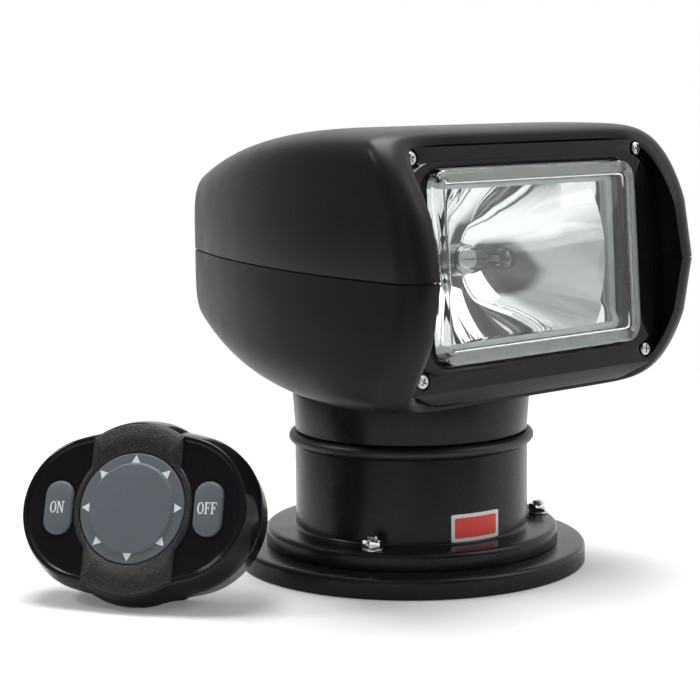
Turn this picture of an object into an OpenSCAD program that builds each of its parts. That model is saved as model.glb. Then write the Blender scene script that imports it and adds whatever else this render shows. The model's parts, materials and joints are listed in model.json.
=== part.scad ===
// Remote-controlled marine searchlight.
// A lamp head tilts on a turret, the turret pans on a bolted base, and the hand control stands beside it.
// Millimetres, front is -Y, up is +Z, origin at the centre of the mounting plate's underside.

/* [Base] */
// Radius of the mounting plate that lies on the deck
plate_r = 82.5; // [79:0.5:100]
// Thickness of the mounting plate
plate_t = 9.5; // [8:0.5:12]
// Radius of the base housing's foot flange
flange_r = 69.5; // [68:0.5:78]
// Thickness of the foot flange
flange_t = 8.3; // [6:0.1:11]
// Outer radius of the base housing's drum
drum_r = 55.25; // [54:0.25:57]
// Height of the drum above the foot flange
drum_h = 39.7; // [37:0.1:50]
// Wall of the drum
drum_wall = 3; // [2.5:0.1:4]
// Floor of the base housing
base_floor_t = 3.5; // [2.5:0.5:5]
// Diameter of the circle that the foot bolts stand on
bolt_pcd = 126; // [124:1:130]
// Number of foot bolts
bolt_count = 3; // [3:1:6]
// Radius of a foot bolt
bolt_r = 2.5; // [2:0.5:3]
// Diameter of the circle of the deck screw holes
deck_pcd = 116; // [108:1:118]
// Radius of a deck screw hole
deck_hole_r = 2.75; // [2.2:0.05:3.3]
// Radius of the cable hole in the gland
gland_bore_r = 3.5; // [2.5:0.1:4.5]
// Outer radius of the weather seal's bead
seal_r = 58.1; // [57:0.1:60]
// Height of the weather seal
seal_h = 5.5; // [4.5:0.1:6.5]

/* [Turret] */
// Radius of the neck at its foot
neck_r = 55; // [54:0.25:56]
// How much the neck widens to its top
neck_flare = 1.2; // [0:0.1:1.5]
// Height of the neck
neck_h = 18.7; // [15:0.1:24]
// Wall of the neck
neck_wall = 3; // [2:0.1:4]
// Radius of the hollow pan spindle
spindle_r = 8; // [7:0.5:9]
// Radius of the spindle's wire passage
spindle_bore_r = 5; // [4:0.5:6]
// Height of the tilt axis above the neck
tilt_lift = 36; // [34:0.5:40]
// Radius of the tilt shaft
tilt_shaft_r = 4; // [3:0.5:5]

/* [Gears] */
// Module of all the gears
gear_module = 1; // [0.9:0.05:1.1]
// Teeth of the fixed pan gear
sun_teeth = 48; // [44:4:52]
// Teeth of both motor pinions
pinion_teeth = 12; // [12:1:13]
// Teeth of a full turn of the tilt sector
sector_teeth = 36; // [32:4:36]
// Pressure angle
pressure_angle = 25; // [22:1:28]
// Face width of the gears
gear_w = 8; // [5:0.5:9]

/* [Head] */
// Height of the seam between the head's shells above the tilt axis
seam_lift = 26; // [22:0.5:30]
// Half width of the head at its front
head_half_w = 93; // [88:0.5:100]
// Plan radius of the head's bowed sides
side_bow_r = 420; // [400:5:600]
// Height of the roof above the seam
roof_h = 62; // [60:0.5:70]
// Radius of the roof's fall towards the back
roof_bow_r = 555; // [480:5:800]
// Depth of the belly below the seam
belly_h = 60; // [57:0.5:61]
// Radius of the belly's rise towards the back
belly_bow_r = 485; // [440:5:800]
// Distance of the back face behind the pan axis
head_back = 123.5; // [118:0.5:135]
// Radius of the front edge of the cheeks, seen from the side
cheek_r = 86; // [80:0.5:95]
// Distance of the centre of that arc before the pan axis
cheek_y = 13.5; // [8:0.5:20]
// Wall of the head's shells
shell_wall = 3; // [2:0.1:3.5]
// Gap that shows as the seam line
seam_gap = 0.8; // [0.4:0.1:1.2]

/* [Lamp] */
// Width of the lens
lens_w = 129.6; // [110:0.2:132]
// Height of the lens
lens_h = 83.2; // [70:0.2:85]
// Corner radius of the lens
lens_corner = 9; // [6:0.5:12]
// Distance of the lens before the pan axis
lens_y = 85.3; // [84:0.1:88]
// Height of the lamp's axis above the seam
lamp_rise = 4; // [2:0.5:4.5]
// Backward lean of the lens
lamp_lean = 4; // [0:0.5:5]
// Focal length of the reflector
focal = 18; // [16:0.5:20]

/* [Hand control] */
// Half length of the control's face
remote_half_l = 53; // [52:0.5:60]
// Half height of the wings of the face
remote_half_h = 35.2; // [34:0.1:38]
// Height of the middle lobe above the centre
lobe_h = 39; // [38:0.1:42]
// Depth of the front half of the control
remote_front_d = 12; // [11:0.5:15]
// Depth of the tapered back half
remote_back_d = 18; // [15:0.5:24]
// Radius of the direction pad
pad_r = 24.5; // [22:0.5:25.5]
// Distance of the two buttons from the centre
button_x = 35.3; // [35:0.1:38]
// Backward lean of the control as it stands
remote_lean = 23.5; // [18:0.5:26]

/* [Hidden] */

$fn = 64;
// Clearances: a running fit, a shaft's play along its axis, a loose hole, and a gap between bodies
run_gap = 0.05;
axial_play = 0.2;
hole_gap = 0.25;
body_gap = 0.4;

// Heights of the base and the turret
flange_top = plate_t + flange_t;
base_top = flange_top + drum_h;
base_floor_z = plate_t + base_floor_t;
edge_round = 2.5;
neck_z = base_top + seal_h + body_gap;
neck_top = neck_z + neck_h;
neck_top_r = neck_r + neck_flare;
skirt_r = drum_r - drum_wall - 1.25;
skirt_wall = 2.5;
turret_floor_t = 3;
turret_floor_z = base_top - 7.5;
turret_floor_top = turret_floor_z + turret_floor_t;
cap_t = 3;
cap_ledge = 5;
cap_r = neck_r - neck_wall;
cap_screw_r = 1.1;
cap_screw_ring = cap_r - 2.75;
tilt_z = neck_top + tilt_lift;
seam_z = tilt_z + seam_lift;

// Foot bolts, with their hexagon heads sunk in the plate
washer_t = 1;
nut_t = 4;
nut_flats = 8;
bolt_tip = 1.3;
bolt_head_t = 3.5;
bolt_top = flange_top + washer_t + nut_t + bolt_tip;
hex_round = 2 / sqrt(3);

// Cable gland, low on the back of the drum
gland_z = flange_top + 16;
gland_body_r = gland_bore_r + 2.5;
gland_flange_r = gland_body_r + 2.5;
gland_flange_t = 3.5;
gland_pad_y = drum_r + 1.75;
gland_in_y = drum_r - drum_wall - 2;

// Stack on the pan spindle, counted down from the turret's floor
bush_flange_t = 2;
bush_r = spindle_r + 2;
thrust_t = 2;
thrust_r = spindle_r + 6;
thrust_z = turret_floor_z - bush_flange_t - axial_play - thrust_t;
sun_z = thrust_z - gear_w;
hub_r = bush_r + 3.5;
hub_top = turret_floor_top + 4;
spindle_shoulder_r = spindle_r + 2.5;
spindle_foot_r = spindle_r + 9;
spindle_foot_t = 3;
spindle_nut_z = hub_top + axial_play;
spindle_nut_t = 5;
spindle_nut_flats = 2 * spindle_r + 8;
spindle_top = spindle_nut_z + spindle_nut_t + 1.5;

// Gear sizes
sun_pitch_r = gear_module * sun_teeth / 2;
pinion_pitch_r = gear_module * pinion_teeth / 2;
sector_pitch_r = gear_module * sector_teeth / 2;
addendum = 0.9 * gear_module;
dedendum = 1.2 * gear_module;
tooth_play = 0.14 * gear_module;
flank_steps = 3;
pan_pinion_y = sun_pitch_r + pinion_pitch_r;
tilt_pinion_z = tilt_z - sector_pitch_r - pinion_pitch_r;
pinion_shaft_r = 2.5;

// Receiver board in the base
board_r = 44;
board_hole_r = spindle_foot_r + 2;
board_t = 1.6;
board_z = base_floor_z + 7;
board_post_r = 3;
board_post_ring = 39;
board_screw_r = 1.25;
board_screws_n = 3;

// Motors
gearbox_r = 15;
gearbox_t = 10;
pan_can_r = 12;
pan_can_h = neck_top - cap_t - 1 - turret_floor_top - gearbox_t;
motor_bore_d = 7;
tilt_gearbox_r = 9;
tilt_gearbox_t = 10;
tilt_can_r = 8.5;
tilt_can_l = 27;
sector_x = 16;
bracket_t = 2.5;
bracket_x = sector_x - body_gap - 1 - bracket_t;
bracket_w = 2 * tilt_gearbox_r;

// Yoke and head frame
yoke_x = 31;
yoke_t = 3;
yoke_plate_t = 2.5;
yoke_half_w = 16;
yoke_screw_r = 1.5;
yoke_spots = [[27.4, -12], [27.4, 12]];
arm_top_r = 9;
bush_wall = 1.5;
bush_collar = 1;
ear_x = yoke_x + yoke_t + bush_collar + body_gap;
ear_t = 3;
frame_rise = 15.5;
frame_z = tilt_z + frame_rise;
frame_t = 2.5;
frame_half_l = 69;
frame_front = -15;
frame_back = 31;
shaft_half_l = ear_x + ear_t + 3.5;
clip_t = 1;
pillar_r = 4;
pillar_spots = [[65.5, -8], [63, 23]];
frame_screw_r = 1.5;
frame_screw_d = 9;

// Head shell: plan, profile and section
widest_y = -100;
roof_crest_y = -42;
belly_crest_y = -26;
back_round = 7;
lip_len = 12;
lip_roll = 12;
section_back = 5;
section_front = 11;
section_steps = 24;
head_len = head_back + cheek_y + cheek_r;
nose_steps = 3;
body_steps = 9;
lip_steps = 4;
nose_t = back_round / head_len;
lip_t = lip_len / head_len * 1.08;
stations = concat(
    [for (i = [0 : nose_steps]) nose_t * (1 - cos(90 * i / nose_steps))],
    [for (i = [1 : body_steps]) nose_t + (1 - lip_t - nose_t) * i / body_steps],
    [for (i = [1 : lip_steps]) 1 - lip_t * (1 - sin(90 * i / lip_steps))]);

// Opening in the belly that clears the neck as the head tilts
well_r = neck_top_r + 1.3;
well_front = -70;
well_back = 92;

// Screw bosses that join the two shells
boss_spots = [[70, -45], [24, 103]];
boss_r = 5;
shell_screw_r = 1.6;
shell_head_r = 3.2;
shell_head_t = 2.2;
boss_bite = 12;
seat_depth = 7;

// Lamp, in its own leaned frame: y counts back from the lens face
lamp_z = seam_z + lamp_rise;
lens_plate_t = 4.5;
lens_skirt = 8;
lens_depth = 12;
lens_flange = 3;
bezel_y = 6;
bezel_t = 3;
collar_y = 3.5;
collar_half = [78, 44.5];
collar_corner = 16;
bezel_half_l = 87.5;
bezel_bow_r = 150;
bezel_corner = 24;
bezel_low = belly_h - 11 + lamp_rise;
chin_half_l = 59;
chin_drop = 6;
chin_back = 5;
bezel_high = roof_h - 7 - lamp_rise;
gasket_t = 2;
frame_y = lens_depth + gasket_t;
reflector_t = 2;
reflector_half = [78, 51];
mouth_half_h = lens_h / 2 - 5.6;
reflector_depth = 45;
vertex_y = frame_y + reflector_depth;
mouth_steps = 12;
bulb_hole_r = 7;
bulb_neck_r = 12;
bulb_neck_l = 5;
lamp_screw = [72.5, 46.5];
lamp_screw_r = 1.6;
lamp_head_r = 3.1;
lamp_head_t = 1.8;
lamp_post = 11;
lamp_post_l = 20;
bulb_r = 5;
bulb_tip_y = 22.5;
bulb_cap_r = 6.6;
bulb_flange_r = 10.5;
bulb_flange_t = 2;
bulb_cap_l = 8;
bulb_seat_y = vertex_y + bulb_neck_l;

// Hand control, in its own frame: x along the face, z up the face, y into the case
remote_at = [-147.6, 21.4];
remote_yaw = -60.2;
remote_roll = -2.75;
remote_flare = 2.7;
remote_wall = 2;
end_r = 32.5;
lobe_r = 36;
foot_cut = 0.25;
// How far the outline's side arcs stop short of their tangent point, so that no sliver is left
arc_short = 2;
taper_scale = 0.935;
lobe_drop = lobe_r + remote_flare - (lobe_r - lobe_h) * cos(remote_roll);
foot_y = remote_front_d + seam_gap / 2;
remote_z = lobe_drop * cos(remote_lean) + foot_y * sin(remote_lean) - foot_cut;
remote_back_y = remote_front_d + remote_back_d;
band_half_w = 21.4;
band_rise = 1.2;
pad_step = 0.78;
pad_t = 5;
pad_proud = 3;
button_half = [6.6, 12];
button_corner = 5;
button_rim = 1.4;
button_rim_t = 1.2;
button_proud = 1.8;
button_travel = 1.2;
key_gap = 0.4;
remote_board_y = 11;
key_mat_t = 1.5;
battery_r = 5.1;
battery_l = 29;
door_half = [18, 9];
remote_boss = [27, 23];
remote_post_r = 2.6;
remote_screw_r = 1;
screw_sink = 2;
panel_t = 2 * remote_wall;
pivot_y = 4.2;
pivot_pin_r = 1;
pivot_reach = 7;
pivot_ear_t = 2;

// Helper functions

function sq(v) = v * v;

// Points of an involute gear's outline
function involute(a) = tan(a) * 180 / PI - a;
function flank_half(n, r) = let (rp = gear_module * n / 2, rb = rp * cos(pressure_angle))
    90 / n - tooth_play / 4 / rp * 180 / PI + involute(pressure_angle) - involute(acos(rb / max(r, rb)));
function gear_radii(n) = let (rp = gear_module * n / 2, rf = rp - dedendum, ra = rp + addendum)
    let (rs = max(rp * cos(pressure_angle), rf + 0.2))
    concat([rf], [for (i = [0 : flank_steps]) rs + (ra - rs) * i / flank_steps]);
function gear_points(n, first, last) = let (rs = gear_radii(n), m = len(rs) - 1)
    [for (k = [first : last]) for (side = [-1, 1]) for (i = [0 : m])
        let (r = rs[side < 0 ? i : m - i], a = 360 * k / n + side * flank_half(n, r)) r * [cos(a), sin(a)]];

// Front edge of the cheeks at a height from the seam
function front_y(z) = -cheek_y - sqrt(max(0, sq(cheek_r) - sq(z)));
// Half width and half height of the head at a place along it
function side_w(y) = head_half_w - sq(y - widest_y) / (2 * side_bow_r);
function rise(roof, y) = roof ? roof_h - sq(y - roof_crest_y) / (2 * roof_bow_r)
    : belly_h - sq(y - belly_crest_y) / (2 * belly_bow_r);
function section(t) = section_back + (section_front - section_back) * t;
// A point of half a shell: inset by g, at station t from the back, at angle a round the section
function head_point(roof, g, t, a) = let (
    n = section(t),
    ux = sign(cos(a)) * pow(abs(cos(a)), 2 / n),
    uz = a == 0 || a == 180 ? 0 : pow(sin(a), 2 / n),
    yf = front_y(uz * (roof ? roof_h : belly_h)),
    y = head_back - g + (yf - head_back + g) * t,
    lip = lip_len - y + yf,
    roll = lip > 0 ? lip_roll * (1 - sqrt(max(0, 1 - sq(lip / lip_len)))) : 0,
    d = head_back - g - y,
    nose = d < back_round ? back_round - sqrt(max(0, sq(back_round) - sq(back_round - d))) : 0)
    [(side_w(y) - roll - nose - g) * ux, y, (rise(roof, y) - nose / 2 - g) * uz];
// Height of a shell's outside over a spot in plan
function shell_height(roof, x, y) = let (
    t = (head_back - y) / (head_back - front_y(roof ? roof_h : belly_h)), n = section(t))
    rise(roof, y) * pow(1 - pow(abs(x) / side_w(y), n), 1 / n);
// Height at which a shell screw's head seats in the belly
function seat_z(s) = seam_z - shell_height(false, s[0], s[1]) + seat_depth;
// Two triangles for each step along a pair of point rows
function strip(a, b, n) = [for (j = [0 : n - 2]) each
    [[a + j, b + j, b + j + 1], [a + j, b + j + 1, a + j + 1]]];

// Shared shapes

module round_disc(r, h, edge) {
    rotate_extrude() union() {
        square([r - edge, h]);
        square([r, h - edge]);
        translate([r - edge, h - edge]) circle(edge);
    }
}

module tube(r_out, r_in, h) {
    difference() {
        cylinder(r = r_out, h = h);
        translate([0, 0, -1]) cylinder(r = r_in, h = h + 2);
    }
}

module round_rect(half, corner) {
    square([2 * half[0], 2 * (half[1] - corner)], center = true);
    square([2 * (half[0] - corner), 2 * half[1]], center = true);
    for (sx = [-1, 1], sz = [-1, 1])
        translate([sx * (half[0] - corner), sz * (half[1] - corner)]) circle(corner);
}

// Draws a flat outline in the XZ plane and gives it a depth along +Y
module along_y(depth) {
    translate([0, depth, 0]) rotate([90, 0, 0]) linear_extrude(depth) children();
}

// Turns a revolve about Z into one along +X or +Y
module axis_x() { rotate([0, 90, 0]) children(); }
module axis_y() { rotate([-90, 0, 0]) children(); }

module bolt_ring(pcd, count, turn) {
    for (i = [0 : count - 1]) rotate(turn + 360 * i / count) translate([0, pcd / 2, 0]) children();
}

module hexagon(flats, h) { cylinder(r = flats / 2 * hex_round, h = h, $fn = 6); }

module both_sides() {
    for (sx = [0, 1]) mirror([sx, 0, 0]) children();
}

module at_spots(spots) {
    for (sx = [-1, 1], s = spots) translate([sx * s[0], s[1], 0]) children();
}

module gear(teeth, width) { linear_extrude(width) polygon(gear_points(teeth, 0, teeth - 1)); }

module lamp_frame() { translate([0, -lens_y, lamp_z]) rotate([-lamp_lean, 0, 0]) children(); }

module at_lamp_screws() {
    for (sx = [-1, 1], sz = [-1, 1]) translate([sx * lamp_screw[0], 0, sz * lamp_screw[1]]) children();
}

module remote_frame() {
    translate([remote_at[0], remote_at[1], remote_z]) rotate(remote_yaw) rotate([-remote_lean, 0, 0])
        rotate([0, remote_roll, 0]) children();
}

// Half of the head's shell over the seam, as one lofted wall
module head_half(roof) {
    cols = section_steps + 1;
    rows = len(stations);
    inner = rows * cols;
    last = inner - cols;
    points = [for (g = [0, shell_wall]) for (t = stations) for (j = [0 : section_steps])
        head_point(roof, g, t, 180 * j / section_steps)];
    faces = concat(
        [for (i = [0 : rows - 2]) each strip(i * cols, (i + 1) * cols, cols)],
        [for (i = [0 : rows - 2]) each strip(inner + (i + 1) * cols, inner + i * cols, cols)],
        strip(last, inner + last, cols),
        [for (i = [0 : rows - 2]) let (a = i * cols, b = a + cols) each
            [[a, inner + a, inner + b], [a, inner + b, b]]],
        [for (i = [0 : rows - 2]) let (a = i * cols + section_steps, b = a + cols) each
            [[a, b, inner + b], [a, inner + b, inner + a]]],
        [[for (j = [0 : section_steps]) j]],
        [[for (j = [section_steps : -1 : 0]) inner + j]],
        [[0, section_steps, inner + section_steps, inner]]);
    polyhedron(points, faces);
}

// Posts behind the bezel that its screws bite into, reaching out to the roof or the belly
module lamp_posts(roof) {
    reach = (roof ? roof_h * 0.985 - lamp_rise : belly_h * 0.985 + lamp_rise) - shell_wall / 2;
    low = lamp_screw[1] - lamp_post / 2;
    lamp_frame() for (sx = [-1, 1])
        translate([sx * lamp_screw[0] - lamp_post / 2, frame_y + reflector_t, roof ? low : -reach])
            cube([lamp_post, lamp_post_l, reach - low]);
}

module lamp_screw_holes(r) {
    lamp_frame() at_lamp_screws() translate([0, -1, 0]) axis_y()
        cylinder(r = r, h = frame_y + lamp_post_l, $fn = 24);
}

// Base

module mounting_plate() {
    color("#1c1c1e") difference() {
        round_disc(plate_r, plate_t, edge_round);
        translate([0, 0, -1]) cylinder(r = spindle_foot_r, h = plate_t + 2);
        bolt_ring(bolt_pcd, bolt_count, 0) {
            translate([0, 0, -1]) cylinder(r = bolt_r + hole_gap, h = plate_t + 2);
            translate([0, 0, -1]) cylinder(r = nut_flats / 2 * hex_round + hole_gap, h = bolt_head_t + 2);
        }
        bolt_ring(deck_pcd, bolt_count, 180 / bolt_count)
            translate([0, 0, -1]) cylinder(r = deck_hole_r, h = plate_t + 2);
    }
}

module flange_bolts() {
    color("silver") bolt_ring(bolt_pcd, bolt_count, 0) {
        translate([0, 0, 1]) hexagon(nut_flats, bolt_head_t);
        translate([0, 0, 1]) cylinder(r = bolt_r, h = bolt_top - 1);
    }
}

module lock_washers() {
    color("silver") bolt_ring(bolt_pcd, bolt_count, 0)
        translate([0, 0, flange_top]) tube(nut_flats / 2 * hex_round, bolt_r + run_gap, washer_t);
}

module flange_nuts() {
    color("gainsboro") bolt_ring(bolt_pcd, bolt_count, 0)
        translate([0, 0, flange_top + washer_t]) difference() {
            intersection() {
                hexagon(nut_flats, nut_t);
                cylinder(r1 = nut_flats / 2 + nut_t, r2 = nut_flats / 2 + 0.2, h = nut_t);
            }
            translate([0, 0, -1]) cylinder(r = bolt_r + run_gap, h = nut_t + 2);
        }
}

module base_housing() {
    color("#222224") difference() {
        union() {
            translate([0, 0, plate_t]) round_disc(flange_r, flange_t, edge_round);
            cylinder_between(drum_r, flange_top - 1, base_top);
            translate([0, 0, gland_z]) axis_y() cylinder(r = gland_flange_r + 1.5, h = gland_pad_y);
        }
        difference() {
            cylinder_between(drum_r - drum_wall, base_floor_z, base_top + 1);
            bolt_ring(2 * board_post_ring, board_screws_n, 60) cylinder_between(board_post_r, 0, board_z);
        }
        bolt_ring(2 * board_post_ring, board_screws_n, 60)
            cylinder_between(board_screw_r, base_floor_z + 1, board_z + 1);
        cylinder_between(spindle_r + hole_gap, 0, base_top);
        translate([0, 0, gland_z]) axis_y() cylinder(r = gland_body_r + run_gap, h = drum_r + 10);
        bolt_ring(bolt_pcd, bolt_count, 0) cylinder(r = bolt_r + hole_gap, h = base_top);
    }
}

module cylinder_between(r, z0, z1) { translate([0, 0, z0]) cylinder(r = r, h = z1 - z0); }

module cable_gland() {
    color("#111112") translate([0, 0, gland_z]) axis_y() difference() {
        union() {
            cylinder_between(gland_body_r, gland_in_y, gland_pad_y + 1);
            translate([0, 0, gland_pad_y]) round_disc(gland_flange_r, gland_flange_t, 1);
        }
        cylinder_between(gland_bore_r, 0, gland_pad_y + gland_flange_t + 1);
    }
}

module turret_seal() {
    color("#161617") rotate_extrude() translate([0, base_top]) union() {
        translate([seal_r - seal_h / 2, seal_h / 2]) circle(seal_h / 2);
        translate([skirt_r + body_gap, 0]) square([seal_r - seal_h / 2 - skirt_r - body_gap, seal_h]);
    }
}

module pan_spindle() {
    color("lightgray") difference() {
        union() {
            cylinder_between(spindle_r, plate_t, spindle_top);
            cylinder_between(spindle_foot_r, base_floor_z, base_floor_z + spindle_foot_t);
            cylinder_between(spindle_shoulder_r, base_floor_z, sun_z);
        }
        cylinder_between(spindle_bore_r, 0, spindle_top + 1);
    }
}

module sun_gear() {
    color("ivory") translate([0, 0, sun_z]) difference() {
        gear(sun_teeth, gear_w);
        translate([0, 0, -1]) cylinder(r = spindle_r + run_gap, h = gear_w + 2);
        for (a = [30 : 60 : 330]) rotate(a) translate([sun_pitch_r * 0.62, 0, -1])
            cylinder(r = 4, h = gear_w + 2);
    }
}

module thrust_washer() {
    color("tan") translate([0, 0, thrust_z]) tube(thrust_r, spindle_r + run_gap, thrust_t);
}

module spindle_nut() {
    color("silver") translate([0, 0, spindle_nut_z]) difference() {
        hexagon(spindle_nut_flats, spindle_nut_t);
        translate([0, 0, -1]) cylinder(r = spindle_r + run_gap, h = spindle_nut_t + 2);
    }
}

module control_board() {
    color("darkgreen") difference() {
        translate([0, 0, board_z]) tube(board_r, board_hole_r, board_t);
        bolt_ring(2 * board_post_ring, board_screws_n, 60)
            cylinder(r = board_screw_r + hole_gap, h = base_top, $fn = 24);
    }
}

// Relays, capacitors, the receiver module and the terminal block
module board_parts() {
    relay = [15, 12, 12];
    color("#3a4a8a") translate([0, 0, board_z + board_t]) {
        for (sx = [-1, 1]) translate([sx * 31 - relay[0] / 2, -8, 0]) cube(relay);
        for (sx = [-1, 1]) translate([sx * 8, -33, 0]) cylinder(r = 4, h = 11);
        translate([-11, 24, 0]) cube([22, 9, 8]);
        translate([-29, 14, 0]) cube([12, 8, 2]);
    }
}

module board_screws() {
    color("silver") bolt_ring(2 * board_post_ring, board_screws_n, 60) {
        cylinder_between(board_screw_r - run_gap, base_floor_z + 2, board_z + board_t + 1);
        cylinder_between(2.4, board_z + board_t, board_z + board_t + 1.6);
    }
}

// Turret

module turret_shell() {
    ledge_z = neck_top - cap_t - cap_ledge;
    color("#222224") difference() {
        union() {
            translate([0, 0, neck_z]) cylinder(r1 = neck_r, r2 = neck_top_r, h = neck_h, $fn = 96);
            cylinder_between(skirt_r, turret_floor_z, neck_z + 1);
        }
        difference() {
            cylinder_between(skirt_r - skirt_wall, turret_floor_top, neck_top + 1);
            cylinder_between(hub_r, 0, hub_top);
        }
        cylinder_between(cap_r, neck_z + 3, ledge_z);
        cylinder_between(cap_r, neck_top - cap_t, neck_top + 1);
        cylinder_between(bush_r + run_gap, 0, neck_top);
        translate([0, pan_pinion_y, 0]) cylinder(r = pinion_shaft_r + 1, h = neck_top);
        bolt_ring(2 * cap_screw_ring, 3, 30)
            cylinder_between(cap_screw_r + run_gap, ledge_z + 0.5, neck_top + 1);
    }
}

module pan_bush() {
    color("goldenrod") difference() {
        union() {
            cylinder_between(bush_r, turret_floor_z - bush_flange_t, hub_top);
            cylinder_between(thrust_r, turret_floor_z - bush_flange_t, turret_floor_z);
        }
        cylinder_between(spindle_r + run_gap, 0, hub_top + 1);
    }
}

module pan_motor() {
    can_z = turret_floor_top + gearbox_t;
    color("silver") translate([0, pan_pinion_y, 0]) difference() {
        union() {
            cylinder_between(gearbox_r, turret_floor_top, can_z);
            translate([0, 0, can_z - 0.5]) round_disc(pan_can_r, pan_can_h + 0.5, 1.5);
        }
        cylinder_between(pinion_shaft_r + run_gap, turret_floor_top - 1, turret_floor_top + motor_bore_d);
    }
}

module turret_cap() {
    color("#1e1e20") difference() {
        translate([0, 0, neck_top - cap_t]) round_disc(cap_r - hole_gap, cap_t, 0.8);
        cylinder_between(spindle_bore_r, 0, neck_top + 1);
        bolt_ring(2 * cap_screw_ring, 3, 30) cylinder(r = cap_screw_r + hole_gap, h = neck_top + 1, $fn = 24);
        at_spots(yoke_spots) cylinder(r = yoke_screw_r + run_gap, h = neck_top + 1, $fn = 24);
    }
}

module cap_screws() {
    color("silver") bolt_ring(2 * cap_screw_ring, 3, 30) {
        cylinder_between(cap_screw_r, neck_top - cap_t - cap_ledge + 1, neck_top + 0.5);
        cylinder_between(2 * cap_screw_r, neck_top, neck_top + 1.2);
    }
}

module tilt_yoke() {
    color("darkgray") difference() {
        union() {
            translate([-yoke_x - yoke_t, -yoke_half_w, neck_top])
                cube([2 * (yoke_x + yoke_t), 2 * yoke_half_w, yoke_plate_t]);
            both_sides() translate([yoke_x, 0, 0]) arm(yoke_t);
        }
        cylinder_between(spindle_bore_r, neck_top - 1, neck_top + yoke_plate_t + 1);
        at_spots(yoke_spots) cylinder_between(yoke_screw_r + hole_gap, neck_top - 1, neck_top + 9);
        translate([-shaft_half_l, 0, tilt_z]) axis_x()
            cylinder(r = tilt_shaft_r + bush_wall + run_gap, h = 2 * shaft_half_l);
    }
}

module yoke_screws() {
    head_z = neck_top + yoke_plate_t;
    color("silver") at_spots(yoke_spots) {
        cylinder_between(yoke_screw_r, neck_top - cap_t + 0.3, head_z + 1);
        cylinder_between(2 * yoke_screw_r, head_z, head_z + 1.8);
    }
}

// One upright of the yoke: tapers to a round end at the tilt axis
module arm(t) {
    slope = atan((yoke_half_w - arm_top_r) / tilt_lift);
    rotate([90, 0, 90]) linear_extrude(t) union() {
        translate([0, tilt_z]) circle(arm_top_r);
        polygon([[-yoke_half_w, neck_top], [yoke_half_w, neck_top],
            [arm_top_r * cos(slope), tilt_z + arm_top_r * sin(slope)],
            [-arm_top_r * cos(slope), tilt_z + arm_top_r * sin(slope)]]);
    }
}

module tilt_bushes() {
    color("goldenrod") both_sides() translate([yoke_x, 0, tilt_z]) axis_x() difference() {
        union() {
            cylinder(r = tilt_shaft_r + bush_wall, h = yoke_t + bush_collar);
            translate([0, 0, yoke_t]) cylinder(r = tilt_shaft_r + bush_wall + 1.5, h = bush_collar);
        }
        translate([0, 0, -1]) cylinder(r = tilt_shaft_r + run_gap, h = yoke_t + bush_collar + 2);
    }
}

module tilt_motor() {
    color("silver") translate([bracket_x, 0, tilt_pinion_z]) rotate([0, -90, 0]) difference() {
        union() {
            cylinder(r = tilt_gearbox_r, h = tilt_gearbox_t);
            translate([0, 0, tilt_gearbox_t - 0.5]) round_disc(tilt_can_r, tilt_can_l + 0.5, 1.5);
        }
        translate([0, 0, -1]) cylinder(r = pinion_shaft_r + run_gap, h = motor_bore_d + 1);
    }
}

// Angle plate that carries the tilt motor on the yoke
module motor_bracket() {
    foot_z = neck_top + yoke_plate_t;
    color("gray") difference() {
        union() {
            translate([bracket_x, -bracket_w / 2, foot_z])
                cube([bracket_t, bracket_w, tilt_pinion_z - foot_z]);
            translate([bracket_x, 0, tilt_pinion_z]) axis_x() cylinder(r = bracket_w / 2, h = bracket_t);
            translate([bracket_x, -bracket_w / 2, foot_z])
                cube([sector_x + gear_w - bracket_x, bracket_w, 1.2]);
        }
        translate([bracket_x - 1, 0, tilt_pinion_z]) axis_x()
            cylinder(r = pinion_shaft_r + 1, h = bracket_t + 2);
    }
}

module pan_pinion() {
    color("khaki") translate([0, pan_pinion_y, 0]) {
        translate([0, 0, sun_z]) rotate(180 / pinion_teeth) gear(pinion_teeth, gear_w);
        cylinder_between(pinion_shaft_r, sun_z, turret_floor_top + motor_bore_d - 1);
    }
}

module tilt_pinion() {
    color("khaki") translate([0, 0, tilt_pinion_z]) {
        translate([sector_x, 0, 0]) rotate([90, 0, 90]) rotate(180 / pinion_teeth)
            gear(pinion_teeth, gear_w);
        translate([bracket_x - motor_bore_d + 1, 0, 0]) axis_x()
            cylinder(r = pinion_shaft_r, h = sector_x + gear_w - bracket_x + motor_bore_d - 1);
    }
}

// Head

// Screw bosses between the seam and the inside of a shell
module bosses(roof) {
    for (sx = [-1, 1], s = boss_spots) translate([sx * s[0], s[1], 0])
        cylinder(r = boss_r, h = shell_height(roof, s[0], s[1]) - shell_wall / 2);
}

// Pillars on the belly that carry the head frame
module pillars() {
    for (sx = [-1, 1], s = pillar_spots) translate([sx * s[0], s[1], 0]) {
        foot = seam_z - shell_height(false, s[0], s[1]) + shell_wall / 2;
        cylinder_between(pillar_r, foot, frame_z);
    }
}

module well_outline() {
    for (y = [well_front + well_r, well_back - well_r]) translate([0, y]) circle(well_r, $fn = 96);
    translate([-well_r, well_front + well_r]) square([2 * well_r, well_back - well_front - 2 * well_r]);
}

module upper_shell() {
    color("#2b2c2f") difference() {
        union() {
            translate([0, 0, seam_z + seam_gap / 2]) head_half(true);
            translate([0, 0, seam_z]) bosses(true);
            lamp_posts(true);
        }
        at_spots(boss_spots) cylinder_between(shell_screw_r + run_gap, seam_z - 1, seam_z + boss_bite + 1);
        lamp_screw_holes(lamp_screw_r + run_gap);
    }
}

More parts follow.
